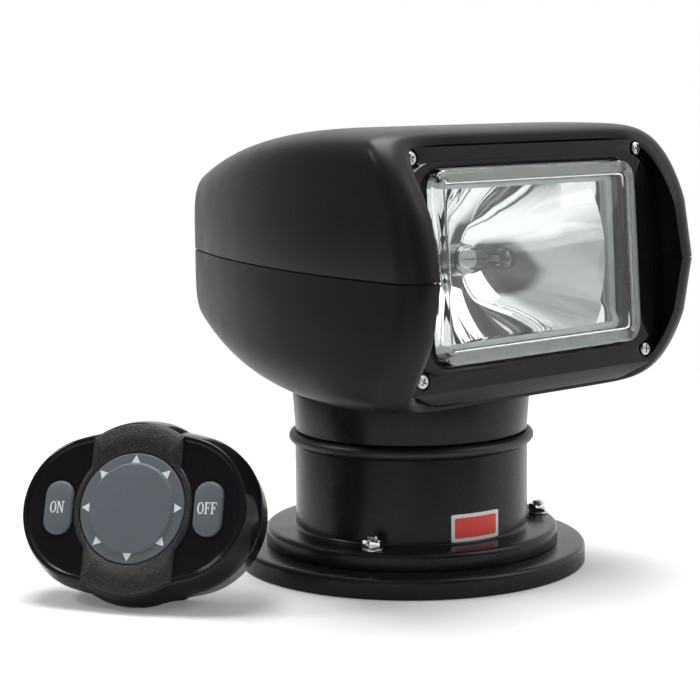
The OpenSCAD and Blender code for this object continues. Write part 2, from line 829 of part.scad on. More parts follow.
module lower_shell() {
    color("#2b2c2f") difference() {
        union() {
            translate([0, 0, seam_z - seam_gap / 2]) mirror([0, 0, 1]) head_half(false);
            translate([0, 0, seam_z]) mirror([0, 0, 1]) bosses(false);
            pillars();
            lamp_posts(false);
        }
        translate([0, 0, seam_z - belly_h - 5]) linear_extrude(20) well_outline();
        at_spots(boss_spots) cylinder_between(shell_screw_r + hole_gap, 0, seam_z + 1);
        for (sx = [-1, 1], s = boss_spots) translate([sx * s[0], s[1], 0])
            cylinder_between(shell_head_r + hole_gap, 0, seat_z(s));
        at_spots(pillar_spots)
            cylinder_between(frame_screw_r + run_gap, frame_z - frame_screw_d - 1, frame_z + 1);
        lamp_screw_holes(lamp_screw_r + run_gap);
    }
}

module shell_screws() {
    color("silver") for (sx = [-1, 1], s = boss_spots) translate([sx * s[0], s[1], 0]) {
        cylinder_between(shell_head_r, seat_z(s) - shell_head_t, seat_z(s));
        cylinder_between(shell_screw_r, seat_z(s) - 1, seam_z + boss_bite);
    }
}

module bezel_outline() {
    intersection() {
        translate([0, (bezel_high - bezel_low) / 2])
            round_rect([bezel_half_l, (bezel_high + bezel_low) / 2], bezel_corner);
        translate([bezel_half_l - bezel_bow_r, -lamp_rise]) circle(bezel_bow_r, $fn = 128);
        translate([bezel_bow_r - bezel_half_l, -lamp_rise]) circle(bezel_bow_r, $fn = 128);
    }
}

// Sloped lower lip that closes the opening towards the belly
module bezel_chin() {
    low = -bezel_low - chin_drop;
    translate([-chin_half_l, 0, 0]) rotate([90, 0, 90]) linear_extrude(2 * chin_half_l)
        polygon([[bezel_y, 1 - bezel_low], [bezel_y, -bezel_low], [bezel_y + chin_back, low],
            [bezel_y + chin_back + bezel_t, low], [bezel_y + bezel_t, 1 - bezel_low]]);
}

module lens_outline(grow) { round_rect([lens_w / 2 + grow, lens_h / 2 + grow], lens_corner + grow); }

module front_bezel() {
    color("#0d0d0e") lamp_frame() difference() {
        union() {
            translate([0, bezel_y, 0]) along_y(bezel_t) bezel_outline();
            bezel_chin();
            translate([0, collar_y, 0]) along_y(bezel_y - collar_y + 1)
                round_rect(collar_half, collar_corner);
            at_lamp_screws() translate([0, bezel_y, 0]) axis_y()
                cylinder(r = lamp_post / 2 - 1.5, h = frame_y - bezel_y);
        }
        along_y(bezel_y + bezel_t + 1) lens_outline(hole_gap);
        translate([0, bezel_y + bezel_t, 0]) along_y(frame_y) lens_outline(lens_flange + hole_gap);
        at_lamp_screws() axis_y() cylinder(r = lamp_screw_r + hole_gap, h = frame_y + 1, $fn = 24);
    }
}

module bezel_screws() {
    color("silver") lamp_frame() at_lamp_screws() axis_y() {
        cylinder_between(lamp_head_r, bezel_y - lamp_head_t, bezel_y);
        cylinder_between(lamp_screw_r, bezel_y - 1, frame_y + reflector_t + lamp_post_l - 6);
    }
}

module lens() {
    color("aliceblue", 0.4) lamp_frame() difference() {
        union() {
            along_y(lens_depth) lens_outline(0);
            translate([0, bezel_y + bezel_t, 0]) along_y(lens_depth - bezel_y - bezel_t)
                lens_outline(lens_flange);
        }
        translate([0, lens_plate_t, 0]) along_y(lens_depth) lens_outline(-lens_skirt);
    }
}

module lens_gasket() {
    color("#141415") lamp_frame() translate([0, lens_depth, 0]) along_y(gasket_t) difference() {
        lens_outline(lens_flange);
        lens_outline(-lens_skirt);
    }
}

// Solid of the reflector's bowl: a paraboloid cut flat above and below
module bowl(grow) {
    depth = reflector_depth + grow;
    intersection() {
        translate([0, vertex_y + grow, 0]) rotate([90, 0, 0]) rotate_extrude($fn = 96)
            polygon(concat([[0, 0]],
                [for (i = [1 : mouth_steps]) let (d = depth * sq(i / mouth_steps)) [sqrt(4 * focal * d), d]],
                [[0, depth]]));
        translate([-lens_w, frame_y - 1, -mouth_half_h - grow])
            cube([2 * lens_w, reflector_depth * 2, 2 * (mouth_half_h + grow)]);
    }
}

module reflector() {
    color("whitesmoke") lamp_frame() difference() {
        union() {
            translate([0, frame_y, 0]) along_y(reflector_t) round_rect(reflector_half, lamp_post / 2);
            bowl(reflector_t);
            translate([0, vertex_y - 3, 0]) axis_y() cylinder(r = bulb_neck_r, h = bulb_neck_l + 3);
        }
        bowl(0);
        translate([0, vertex_y - 10, 0]) axis_y() cylinder(r = bulb_hole_r, h = 30);
        at_lamp_screws() translate([0, frame_y - 1, 0]) axis_y()
            cylinder(r = lamp_screw_r + hole_gap, h = 9, $fn = 24);
    }
}

module bulb() {
    color("lightcyan", 0.6) lamp_frame() translate([0, bulb_tip_y, 0]) axis_y() union() {
        translate([0, 0, bulb_r]) sphere(bulb_r);
        cylinder_between(bulb_r, bulb_r, vertex_y - 4 - bulb_tip_y);
    }
}

module bulb_base() {
    color("silver") lamp_frame() axis_y() union() {
        cylinder_between(bulb_cap_r, vertex_y - 4, bulb_seat_y + bulb_cap_l);
        cylinder_between(bulb_flange_r, bulb_seat_y, bulb_seat_y + bulb_flange_t);
    }
}

module bulb_retainer() {
    plate_y = bulb_seat_y + bulb_flange_t;
    color("gold") lamp_frame() axis_y() difference() {
        union() {
            cylinder_between(bulb_flange_r + 1, plate_y, plate_y + 1);
            for (a = [0, 180]) rotate(a) translate([bulb_flange_r + hole_gap, -3, bulb_seat_y])
                cube([1.2, 6, bulb_flange_t + 1]);
        }
        cylinder_between(bulb_cap_r + hole_gap, 0, bulb_seat_y + 20);
    }
}

module bulb_connector() {
    color("#26262a") lamp_frame() translate([0, bulb_seat_y + bulb_cap_l, 0]) difference() {
        translate([-6, 0, -5]) cube([12, 13, 10]);
        for (sx = [-1, 1]) translate([sx * 3, 5, 0]) axis_y() cylinder(r = 1.5, h = 9, $fn = 24);
    }
}

module head_frame() {
    color("darkgray") difference() {
        union() {
            translate([-frame_half_l, frame_front, frame_z])
                cube([2 * frame_half_l, frame_back - frame_front, frame_t]);
            both_sides() translate([ear_x, 0, 0]) rotate([90, 0, 90]) linear_extrude(ear_t) union() {
                translate([0, tilt_z]) circle(arm_top_r);
                polygon([[-arm_top_r, tilt_z], [arm_top_r, tilt_z], [arm_top_r + 5, frame_z + 1],
                    [-arm_top_r - 5, frame_z + 1]]);
            }
        }
        translate([-shaft_half_l, 0, tilt_z]) axis_x()
            cylinder(r = tilt_shaft_r + run_gap, h = 2 * shaft_half_l);
        at_spots(pillar_spots)
            cylinder_between(frame_screw_r + hole_gap, frame_z - 1, frame_z + frame_t + 1);
    }
}

module frame_screws() {
    color("silver") at_spots(pillar_spots) {
        cylinder_between(frame_screw_r, frame_z - frame_screw_d, frame_z + frame_t + 1);
        cylinder_between(2 * frame_screw_r, frame_z + frame_t, frame_z + frame_t + 2);
    }
}

module tilt_shaft() {
    color("lightgray") translate([-shaft_half_l, 0, tilt_z]) axis_x()
        cylinder(r = tilt_shaft_r, h = 2 * shaft_half_l);
}

module shaft_clips() {
    color("dimgray") both_sides() translate([ear_x + ear_t, 0, tilt_z]) axis_x()
        tube(tilt_shaft_r + 2.5, tilt_shaft_r + run_gap, clip_t);
}

// Toothed sector under the tilt shaft, with its hub
module tilt_sector() {
    span = floor(sector_teeth / 4);
    middle = 3 * sector_teeth / 4;
    color("ivory") translate([sector_x, 0, tilt_z]) rotate([90, 0, 90]) difference() {
        union() {
            linear_extrude(gear_w - 1)
                polygon(concat([[0, 0]], gear_points(sector_teeth, middle - span, middle + span)));
            cylinder(r = 2 * tilt_shaft_r, h = gear_w + 3);
        }
        translate([0, 0, -1]) cylinder(r = tilt_shaft_r + run_gap, h = gear_w + 6);
    }
}

// Hand control

// Outline of the control: a four-arc oval with a rounder lobe across its middle
module remote_outline(grow) {
    end_x = remote_half_l - end_r;
    drop = (sq(end_x) - sq(remote_half_h - end_r)) / (2 * (remote_half_h - end_r));
    side_r = remote_half_h + drop;
    reach = end_x + end_r * end_x / (side_r - end_r) - arc_short;
    for (sx = [-1, 1]) translate([sx * end_x, 0]) circle(end_r + grow, $fn = 48);
    intersection() {
        translate([0, -drop]) circle(side_r + grow, $fn = 180);
        translate([0, drop]) circle(side_r + grow, $fn = 180);
        square([2 * reach, 4 * remote_half_h], center = true);
    }
    for (sz = [-1, 1]) intersection() {
        translate([0, sz * (lobe_h - lobe_r)]) circle(lobe_r + grow, $fn = 96);
        translate([-remote_half_h, sz > 0 ? 0 : -2 * remote_half_h]) square(2 * remote_half_h);
    }
}

module key_outline(grow) {
    round_rect([button_half[0] + grow, button_half[1] + grow], button_corner + grow);
}

module band_outline() {
    intersection() {
        remote_outline(-1);
        union() {
            square([2 * band_half_w, 4 * remote_half_h], center = true);
            circle(pad_r + 3.5);
        }
    }
}

module remote_front() {
    color("#121214") remote_frame() difference() {
        union() {
            translate([0, remote_wall, 0])
                along_y(remote_front_d - remote_wall - seam_gap / 2) remote_outline(remote_flare);
            along_y(remote_wall + 1) remote_outline(0);
            translate([0, -band_rise, 0]) along_y(band_rise + 1) band_outline();
        }
        difference() {
            translate([0, panel_t, 0]) along_y(remote_front_d) remote_outline(-remote_wall);
            at_remote_bosses() cylinder(r = remote_post_r, h = remote_board_y);
        }
        at_remote_bosses() cylinder_between(remote_screw_r + run_gap, panel_t - 1.5, remote_front_d);
        translate([0, -5, 0]) axis_y() cylinder(r = pad_r + key_gap, h = 20);
        for (sx = [-1, 1]) translate([sx * button_x, -5, 0]) along_y(20) key_outline(key_gap);
    }
}

module at_remote_bosses() {
    for (sx = [-1, 1], sz = [-1, 1]) translate([sx * remote_boss[0], 0, sz * remote_boss[1]]) axis_y()
        children();
}

// Tapered back of the case, cut flat underneath so that it stands on the ground
module remote_taper(grow, depth) {
    intersection() {
        translate([0, foot_y, 0]) rotate([-90, 0, 0])
            linear_extrude(depth, scale = 1 - (1 - taper_scale) * depth / remote_back_d) mirror([0, 1])
                remote_outline(grow);
        rotate([0, -remote_roll, 0]) rotate([remote_lean, 0, 0])
            translate([-100, -100, remote_flare - grow - remote_z]) cube(200);
    }
}

module remote_back() {
    inner_y = remote_board_y + board_t;
    color("#17171a") remote_frame() difference() {
        remote_taper(remote_flare, remote_back_d - seam_gap / 2);
        difference() {
            translate([0, -0.01, 0]) remote_taper(-remote_wall, remote_back_d - remote_wall - seam_gap / 2);
            at_remote_bosses() cylinder_between(remote_post_r, inner_y, remote_back_y);
        }
        at_remote_bosses() cylinder_between(remote_screw_r + hole_gap, 0, remote_back_y + 1);
        at_remote_bosses()
            cylinder_between(2 * remote_screw_r + hole_gap, remote_back_y - screw_sink, remote_back_y + 1);
        translate([0, remote_back_y - remote_wall - 1, 0]) along_y(9)
            round_rect([door_half[0] + hole_gap, door_half[1] + hole_gap], 3);
    }
}

module remote_board() {
    color("darkgreen") remote_frame() difference() {
        translate([0, remote_board_y, 0]) along_y(board_t) remote_outline(-remote_wall - 1);
        at_remote_bosses() cylinder(r = remote_screw_r + hole_gap, h = remote_back_y, $fn = 24);
    }
}

// Rubber mat whose domes push the keys back
module keypad() {
    mat_y = remote_board_y - key_mat_t;
    color("gainsboro") remote_frame() {
        for (sx = [-1, 1]) translate([sx * button_x, mat_y, 0]) along_y(key_mat_t) key_outline(-1);
        translate([0, mat_y, 0]) axis_y() tube(pad_r - 2, pivot_reach + 4, key_mat_t);
    }
}

module battery() {
    color("gold") remote_frame() translate([-battery_l / 2, remote_board_y + board_t + battery_r, 0])
        axis_x()
        union() {
            cylinder(r = battery_r, h = battery_l - 1);
            cylinder(r = battery_r / 2, h = battery_l);
        }
}

module battery_door() {
    color("#17171a") remote_frame() translate([0, remote_back_y - remote_wall, 0]) union() {
        along_y(remote_wall) round_rect(door_half, 3);
        translate([-6, -0.8, -door_half[1]]) cube([12, 1.5, 2 * door_half[1]]);
    }
}

module remote_screws() {
    seat_y = remote_back_y - screw_sink;
    color("silver") remote_frame() at_remote_bosses() {
        cylinder_between(remote_screw_r, panel_t, seat_y + 1);
        cylinder_between(2 * remote_screw_r, seat_y, seat_y + 1.3);
    }
}

// Two ears on the board that hold the swivel's upright pin
module pivot_post() {
    color("dimgray") remote_frame() difference() {
        union() {
            translate([0, remote_board_y - key_mat_t, 0]) axis_y()
                cylinder(r = pivot_reach + 3, h = key_mat_t);
            for (sz = [-1, 1]) translate([-pivot_ear_t, pivot_y - 1.5, sz * pivot_reach - pivot_ear_t / 2])
                cube([2 * pivot_ear_t, remote_board_y - pivot_y + 1, pivot_ear_t]);
        }
        translate([0, pivot_y, -20]) cylinder(r = pivot_pin_r + run_gap, h = 40);
    }
}

// Swivel cross that lets the direction pad rock both ways
module pad_pivot() {
    reach = pivot_reach + pivot_ear_t / 2;
    color("gray") remote_frame() translate([0, pivot_y, 0]) union() {
        axis_y() translate([0, 0, -1.4]) cylinder(r = 3.5, h = 2.8);
        translate([0, 0, -reach]) cylinder(r = pivot_pin_r, h = 2 * reach);
        translate([-reach, 0, 0]) axis_x() cylinder(r = pivot_pin_r, h = 2 * reach);
    }
}

module direction_pad() {
    back_y = pad_t - pad_proud;
    color("slategray") remote_frame() difference() {
        union() {
            translate([0, back_y, 0]) rotate([90, 0, 0]) round_disc(pad_r, pad_t - 1.2, 0.8);
            translate([0, back_y, 0]) rotate([90, 0, 0]) round_disc(pad_r * pad_step, pad_t, 0.8);
            for (sx = [-1, 1]) translate([sx * pivot_reach - pivot_ear_t / 2, back_y - 1, -pivot_ear_t])
                cube([pivot_ear_t, pivot_y - back_y + 2.6, 2 * pivot_ear_t]);
        }
        translate([-20, pivot_y, 0]) axis_x() cylinder(r = pivot_pin_r + run_gap, h = 40);
        translate([0, back_y - 1, 0]) axis_y() cylinder(r = 4.2, h = 9);
    }
}

// A push button: its face, the rim that keeps it in the case, and the stem over the mat
module key(side) {
    rim_y = panel_t + axial_play;
    stem_end = remote_board_y - key_mat_t - button_travel - axial_play;
    color("slategray") remote_frame() translate([side * button_x, 0, 0]) union() {
        translate([0, -button_proud, 0]) along_y(rim_y + button_proud + 0.5) key_outline(0);
        translate([0, rim_y, 0]) along_y(button_rim_t) key_outline(button_rim);
        translate([0, rim_y, 0]) axis_y() cylinder(r = 3, h = stem_end - rim_y);
    }
}

module on_button() { key(-1); }
module off_button() { key(1); }

mounting_plate();
flange_bolts();
lock_washers();
flange_nuts();
base_housing();
cable_gland();
turret_seal();
pan_spindle();
sun_gear();
thrust_washer();
spindle_nut();
control_board();
board_parts();
board_screws();
turret_shell();
pan_bush();
pan_motor();
turret_cap();
cap_screws();
tilt_yoke();
yoke_screws();
tilt_bushes();
tilt_motor();
motor_bracket();
pan_pinion();
tilt_pinion();
upper_shell();
lower_shell();
shell_screws();
front_bezel();
bezel_screws();
lens();
lens_gasket();
reflector();
bulb();
bulb_base();
bulb_retainer();
bulb_connector();
head_frame();
frame_screws();
tilt_shaft();
shaft_clips();
tilt_sector();
remote_front();
remote_back();
remote_board();
keypad();
battery();
battery_door();
remote_screws();
pivot_post();
pad_pivot();
direction_pad();
on_button();
off_button();
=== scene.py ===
"""Looks of a remote-controlled marine searchlight.

A tilting lamp head on a panning turret, and the hand control that belongs to it.
"""

import json
import logging
import math
from dataclasses import dataclass
from enum import Enum
from typing import Any, Callable, Sequence

import bmesh
import bpy
from mathutils import Matrix, Vector


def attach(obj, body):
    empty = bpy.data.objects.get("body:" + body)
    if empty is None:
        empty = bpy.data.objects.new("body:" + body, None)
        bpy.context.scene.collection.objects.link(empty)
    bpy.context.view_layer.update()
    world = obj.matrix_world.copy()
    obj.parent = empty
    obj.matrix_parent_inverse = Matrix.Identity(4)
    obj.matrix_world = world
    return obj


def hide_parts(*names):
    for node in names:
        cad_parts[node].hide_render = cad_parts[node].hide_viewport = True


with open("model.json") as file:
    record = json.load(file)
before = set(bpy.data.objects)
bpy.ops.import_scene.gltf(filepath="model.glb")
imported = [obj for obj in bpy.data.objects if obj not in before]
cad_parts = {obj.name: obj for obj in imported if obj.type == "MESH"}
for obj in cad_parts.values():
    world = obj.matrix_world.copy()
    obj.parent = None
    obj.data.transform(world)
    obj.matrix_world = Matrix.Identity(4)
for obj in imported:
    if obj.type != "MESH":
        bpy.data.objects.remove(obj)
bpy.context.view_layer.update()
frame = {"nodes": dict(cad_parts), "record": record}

MM = 0.001
TINY = 1e-6
LOG = logging.getLogger("searchlight")
Point = tuple[float, float, float]
Flat = tuple[float, float]
Ring = list[Point]
Colour = tuple[float, float, float, float]
QUARTERS = ((-1, -1), (-1, 1), (1, -1), (1, 1))


class Body(str, Enum):
    """The rigid bodies that pieces ride on."""

    BASE = "base"
    TURRET = "turret"
    HEAD = "head"
    CONTROL = "hand_control"
    PAD = "direction_pad"
    ON_KEY = "on_button"
    OFF_KEY = "off_button"


def grey(level: float) -> Colour:
    """An opaque neutral colour of that linear level."""
    return (level, level, level, 1.0)


def shade(colour: Colour, factor: float) -> Colour:
    """A colour made darker or lighter by a factor."""
    return tuple(c * factor for c in colour[:3]) + (1.0,)


# Node sockets as numbers


class Tone:
    """A node's output that can be used in plain arithmetic."""

    def __init__(self, nodes: "Nodes", socket: bpy.types.NodeSocket) -> None:
        """Keeps the socket and the nodes that it belongs to."""
        self.nodes = nodes
        self.socket = socket

    def _math(self, operation: str, first: Any, second: Any) -> "Tone":
        """Adds one Math node.

        Args:
            operation: the Math node's operation.
            first: a number or a tone.
            second: a number or a tone.

        Returns:
            The node's value.
        """
        return self.nodes.node("ShaderNodeMath", {"operation": operation}, {0: first, 1: second})

    def __add__(self, other: Any) -> "Tone":
        """This plus other."""
        return self._math("ADD", self, other)

    def __radd__(self, other: Any) -> "Tone":
        """Other plus this."""
        return self._math("ADD", other, self)

    def __sub__(self, other: Any) -> "Tone":
        """This minus other."""
        return self._math("SUBTRACT", self, other)

    def __rsub__(self, other: Any) -> "Tone":
        """Other minus this."""
        return self._math("SUBTRACT", other, self)

    def __mul__(self, other: Any) -> "Tone":
        """This times other."""
        return self._math("MULTIPLY", self, other)

    def __rmul__(self, other: Any) -> "Tone":
        """Other times this."""
        return self._math("MULTIPLY", other, self)

    def __truediv__(self, other: Any) -> "Tone":
        """This divided by other."""
        return self._math("DIVIDE", self, other)

    def __rtruediv__(self, other: Any) -> "Tone":
        """Other divided by this."""
        return self._math("DIVIDE", other, self)

    def clamp(self, low: float = 0.0, high: float = 1.0) -> "Tone":
        """This, kept between two numbers."""
        return self._math("MINIMUM", self._math("MAXIMUM", self, low), high)

    def beside(self, output: str) -> "Tone":
        """Another output of the same node."""
        return Tone(self.nodes, self.socket.node.outputs[output])


class Nodes:
    """Builds the node tree of a material, of the world or of a repeat."""

    def __init__(self, tree: bpy.types.NodeTree) -> None:
        """Empties the tree and keeps it."""
        tree.nodes.clear()
        self.tree = tree

    def node(self, kind: str, settings: dict[str, Any], inputs: dict[Any, Any],
             output: Any = 0) -> Tone | None:
        """Adds one node.

        Args:
            kind: the node's type.
            settings: its properties, which are set first.
            inputs: values or tones for its sockets, by name or number.
            output: the name or number of the socket that is returned.

        Returns:
            The chosen output, or None where the node ends the tree.
        """
        made = self.tree.nodes.new(kind)
        for key, value in settings.items():
            setattr(made, key, value)
        for key, value in inputs.items():
            if isinstance(value, Tone):
                self.tree.links.new(value.socket, made.inputs[key])
            else:
                made.inputs[key].default_value = value
        return Tone(self, made.outputs[output]) if len(made.outputs) else None

    def place(self) -> Tone:
        """The point on the piece, in its own coordinates."""
        return self.node("ShaderNodeTexCoord", {}, {}, "Object")

    def noise(self, size: float, detail: float = 2.0) -> Tone:
        """Soft noise.

        Args:
            size: the size of its blobs in metres.
            detail: how many finer layers it has.

        Returns:
            A value about 0.5.
        """
        inputs = {"Vector": self.place(), "Scale": 1 / size, "Detail": detail}
        return self.node("ShaderNodeTexNoise", {}, inputs, "Fac")

    def cells(self, size: float, feature: str = "F1") -> Tone:
        """Distance to the nearest of scattered points.

        Args:
            size: the mean distance of the points in metres.
            feature: which distance is measured.

        Returns:
            The distance, in cells.
        """
        inputs = {"Vector": self.place(), "Scale": 1 / size}
        return self.node("ShaderNodeTexVoronoi", {"feature": feature}, inputs, "Distance")

    def mix(self, factor: Any, first: Any, second: Any) -> Tone:
        """One colour going over into another."""
        inputs = {"Factor": factor, 6: first, 7: second}
        return self.node("ShaderNodeMix", {"data_type": "RGBA"}, inputs, 2)

    def bump(self, height: Tone, depth: float) -> Tone:
        """A normal that follows a height of about 0 to 1, with the depth of 1 in metres."""
        return self.node("ShaderNodeBump", {}, {"Height": height, "Distance": depth, "Strength": 1.0})

    def surface(self, inputs: dict[str, Any]) -> None:
        """Ends the tree in one principled surface with these inputs."""
        shader = self.node("ShaderNodeBsdfPrincipled", {}, inputs)
        self.node("ShaderNodeOutputMaterial", {}, {"Surface": shader})


# Finishes


@dataclass(frozen=True)
class Finish:
    """A named surface finish; each kind paints its own nodes."""

    name: str

    def material(self) -> bpy.types.Material:
        """The material, made on first use."""
        name = f"{self.name}_finish"
        found = bpy.data.materials.get(name)
        if found:
            return found
        made = bpy.data.materials.new(name)
        made.use_nodes = True
        self.paint(Nodes(made.node_tree))
        return made

    def paint(self, nodes: Nodes) -> None:
        """Adds the nodes of this finish to an empty tree."""
        raise NotImplementedError


@dataclass(frozen=True)
class Moulding(Finish):
    """Moulded plastic or rubber with a fine spark-eroded grain."""

    colour: Colour
    roughness: float
    grain: float = 0.35 * MM
    grain_depth: float = 0.02 * MM
    cloud: float = 0.12
    specular: float = 0.5
    speckle: float = 0.0
    cloud_size: float = 18 * MM
    cloud_gloss: float = 0.16
    grain_gloss: float = 0.1
    speckle_size: float = 0.9 * MM
    speckle_level: float = 0.35
    speckle_edge: float = 3.2
    patch_size: float = 4 * MM
    patch_gain: float = 3.0
    patch_cut: float = 1.2

    def paint(self, nodes: Nodes) -> None:
        """Mottled colour, roughness that drifts a little, and the grain as bump."""
        drift = nodes.noise(self.cloud_size, detail=3.0)
        fine = nodes.noise(self.grain, detail=1.0)
        colour = nodes.mix(drift, shade(self.colour, 1 - self.cloud), shade(self.colour, 1 + self.cloud))
        rough = self.roughness + (drift - 0.5) * self.cloud_gloss + (fine - 0.5) * self.grain_gloss
        if self.speckle:
            spot = 1 - nodes.cells(self.speckle_size) * self.speckle_edge
            patch = nodes.noise(self.patch_size) * self.patch_gain - self.patch_cut
            dots = spot.clamp() * patch.clamp()
            colour = nodes.mix(dots * self.speckle, colour, grey(self.speckle_level))
        nodes.surface({
            "Base Color": colour,
            "Roughness": rough.clamp(low=0.02),
            "Specular IOR Level": self.specular,
            "Normal": nodes.bump(fine, self.grain_depth),
        })


@dataclass(frozen=True)
class Sparkle(Finish):
    """Coarsely etched glossy plastic with a painted glint: some facets get a paler colour that stands in for
    a highlight.
    """

    colour: Colour
    facet: float = 0.42 * MM
    pit_depth: float = 0.14 * MM
    patch: float = 1.1 * MM
    patch_share: float = 0.6
    # painted glint: these set which facets get a paler colour that stands in for a highlight
    painted_glint_share: float = 0.7
    painted_glint_gain: float = 7.0
    painted_glint_cut: float = 4.3
    painted_glint_level: float = 0.22
    glint_gloss: float = 0.14
    roughness: float = 0.34
    specular: float = 0.4

    def paint(self, nodes: Nodes) -> None:
        """Cell pits of uneven depth, with a painted glint on some of them: a paler colour in place of a
        highlight, and less roughness.
        """
        pits = nodes.cells(self.facet)
        broad = nodes.noise(self.patch)
        painted_glint_noise = nodes.noise(self.facet * self.painted_glint_share, detail=1.0)
        # painted glint: the paler colour on these facets stands in for a highlight
        painted_glint = (painted_glint_noise * self.painted_glint_gain - self.painted_glint_cut).clamp()
        nodes.surface({
            "Base Color": nodes.mix(painted_glint, self.colour, grey(self.painted_glint_level)),
            "Roughness": self.roughness - painted_glint * self.glint_gloss,
            "Specular IOR Level": self.specular,
            "Normal": nodes.bump(pits + broad * self.patch_share, self.pit_depth),
        })


@dataclass(frozen=True)
class Metal(Finish):
    """Bare or plated metal with a faint drawn grain."""

    colour: Colour
    roughness: float
    stretch: float = 6.0
    smudge: float = 0.10
    smudge_size: float = 6 * MM
    smudge_level: float = 0.86
    line_scale: float = 900.0
    line_gloss: float = 0.12
    line_depth: float = 0.004 * MM

    def paint(self, nodes: Nodes) -> None:
        """Long fine scratches in the roughness, and a soft smudge over them."""
        stretched = {"Vector": nodes.place(), "Scale": (1.0, 1.0, self.stretch)}
        drawn = nodes.node("ShaderNodeMapping", {}, stretched)
        grain = {"Vector": drawn, "Scale": self.line_scale, "Detail": 2.0}
        lines = nodes.node("ShaderNodeTexNoise", {}, grain, "Fac")
        blur = nodes.noise(self.smudge_size)
        rough = self.roughness + (lines - 0.5) * self.line_gloss + (blur - 0.5) * self.smudge
        nodes.surface({
            "Base Color": nodes.mix(blur, shade(self.colour, self.smudge_level), self.colour),
            "Metallic": 1.0,
            "Roughness": rough.clamp(low=0.01),
            "Normal": nodes.bump(lines, self.line_depth),
        })


@dataclass(frozen=True)
class Mirror(Finish):
    """Vacuum-metallised reflector."""

    colour: Colour
    roughness: float = 0.02
    ripple_size: float = 14 * MM
    ripple_depth: float = 0.02 * MM
    haze_size: float = 5 * MM
    haze_level: float = 0.93
    haze_gloss: float = 0.05

    def paint(self, nodes: Nodes) -> None:
        """A bright mirror with a slow ripple and a thin haze."""
        ripple = nodes.noise(self.ripple_size, detail=1.0)
        haze = nodes.noise(self.haze_size, detail=3.0)
        nodes.surface({
            "Base Color": nodes.mix(haze, shade(self.colour, self.haze_level), self.colour),
            "Metallic": 1.0,
            "Roughness": self.roughness + haze * self.haze_gloss,
            "Normal": nodes.bump(ripple, self.ripple_depth),
        })


@dataclass(frozen=True)
class Glass(Finish):
    """Clear glass with a touch of colour."""

    colour: Colour
    index: float = 1.47
    wave_size: float = 9 * MM
    wave_depth: float = 0.015 * MM

    def paint(self, nodes: Nodes) -> None:
        """Clear, with the slight waviness that pressing leaves."""
        nodes.surface({
            "Base Color": self.colour,
            "Roughness": 0.0,
            "IOR": self.index,
            "Transmission Weight": 1.0,
            "Normal": nodes.bump(nodes.noise(self.wave_size, detail=1.0), self.wave_depth),
        })


@dataclass(frozen=True)
class Ink(Finish):
    """Printed or enamelled colour with a soft gloss."""

    colour: Colour
    roughness: float = 0.35
    mottle_size: float = 0.8 * MM
    mottle_level: float = 0.92
    mottle_gloss: float = 0.1
    mottle_depth: float = 0.004 * MM

    def paint(self, nodes: Nodes) -> None:
        """Even colour with a faint printed mottle."""
        mottle = nodes.noise(self.mottle_size)
        nodes.surface({
            "Base Color": nodes.mix(mottle, shade(self.colour, self.mottle_level), self.colour),
            "Roughness": self.roughness + (mottle - 0.5) * self.mottle_gloss,
            "Normal": nodes.bump(mottle, self.mottle_depth),
        })


@dataclass(frozen=True)
class Board(Finish):
    """Solder-masked circuit board with its tracks showing through."""

    colour: Colour
    roughness: float = 0.32
    grain: float = 3 * MM
    grain_gloss: float = 0.1
    track_size: float = 5 * MM
    track_edge: float = 9.0
    track_level: float = 2.2
    track_depth: float = 0.03 * MM

    def paint(self, nodes: Nodes) -> None:
        """Tracks as the borders of cells, a little paler and raised."""
        tracks = (1 - nodes.cells(self.track_size, "DISTANCE_TO_EDGE") * self.track_edge).clamp()
        nodes.surface({
            "Base Color": nodes.mix(tracks, self.colour, shade(self.colour, self.track_level)),
            "Roughness": self.roughness + nodes.noise(self.grain) * self.grain_gloss,
            "Normal": nodes.bump(tracks, self.track_depth),
        })


HEAD_PLASTIC = Moulding("head_plastic", (0.0125, 0.0125, 0.0138, 1), 0.36, grain_depth=0.008 * MM,
                        specular=0.16)
BASE_PLASTIC = Moulding("base_plastic", (0.0115, 0.0115, 0.0125, 1), 0.26, 0.5 * MM, 0.012 * MM,
                        specular=0.22, speckle=0.07)
NECK_PLASTIC = Moulding("neck_plastic", (0.0115, 0.0115, 0.0125, 1), 0.28, grain_depth=0.008 * MM,
                        specular=0.20)
GLOSS_BLACK = Moulding("gloss_black", (0.0085, 0.0085, 0.0100, 1), 0.10, 0.8 * MM, 0.003 * MM,
                       specular=0.20)
CASE_BLACK = Moulding("case_black", (0.007, 0.007, 0.008, 1), 0.26, grain_depth=0.01 * MM)
BAND_BLACK = Sparkle("band_black", (0.007, 0.0065, 0.0075, 1))
KEY_GREY = Moulding("key_grey", (0.112, 0.128, 0.145, 1), 0.50, 0.3 * MM, 0.006 * MM, cloud=0.06,
                    specular=0.3)
SEAL_RUBBER = Moulding("seal_rubber", (0.010, 0.010, 0.010, 1), 0.44, 0.5 * MM, 0.01 * MM)
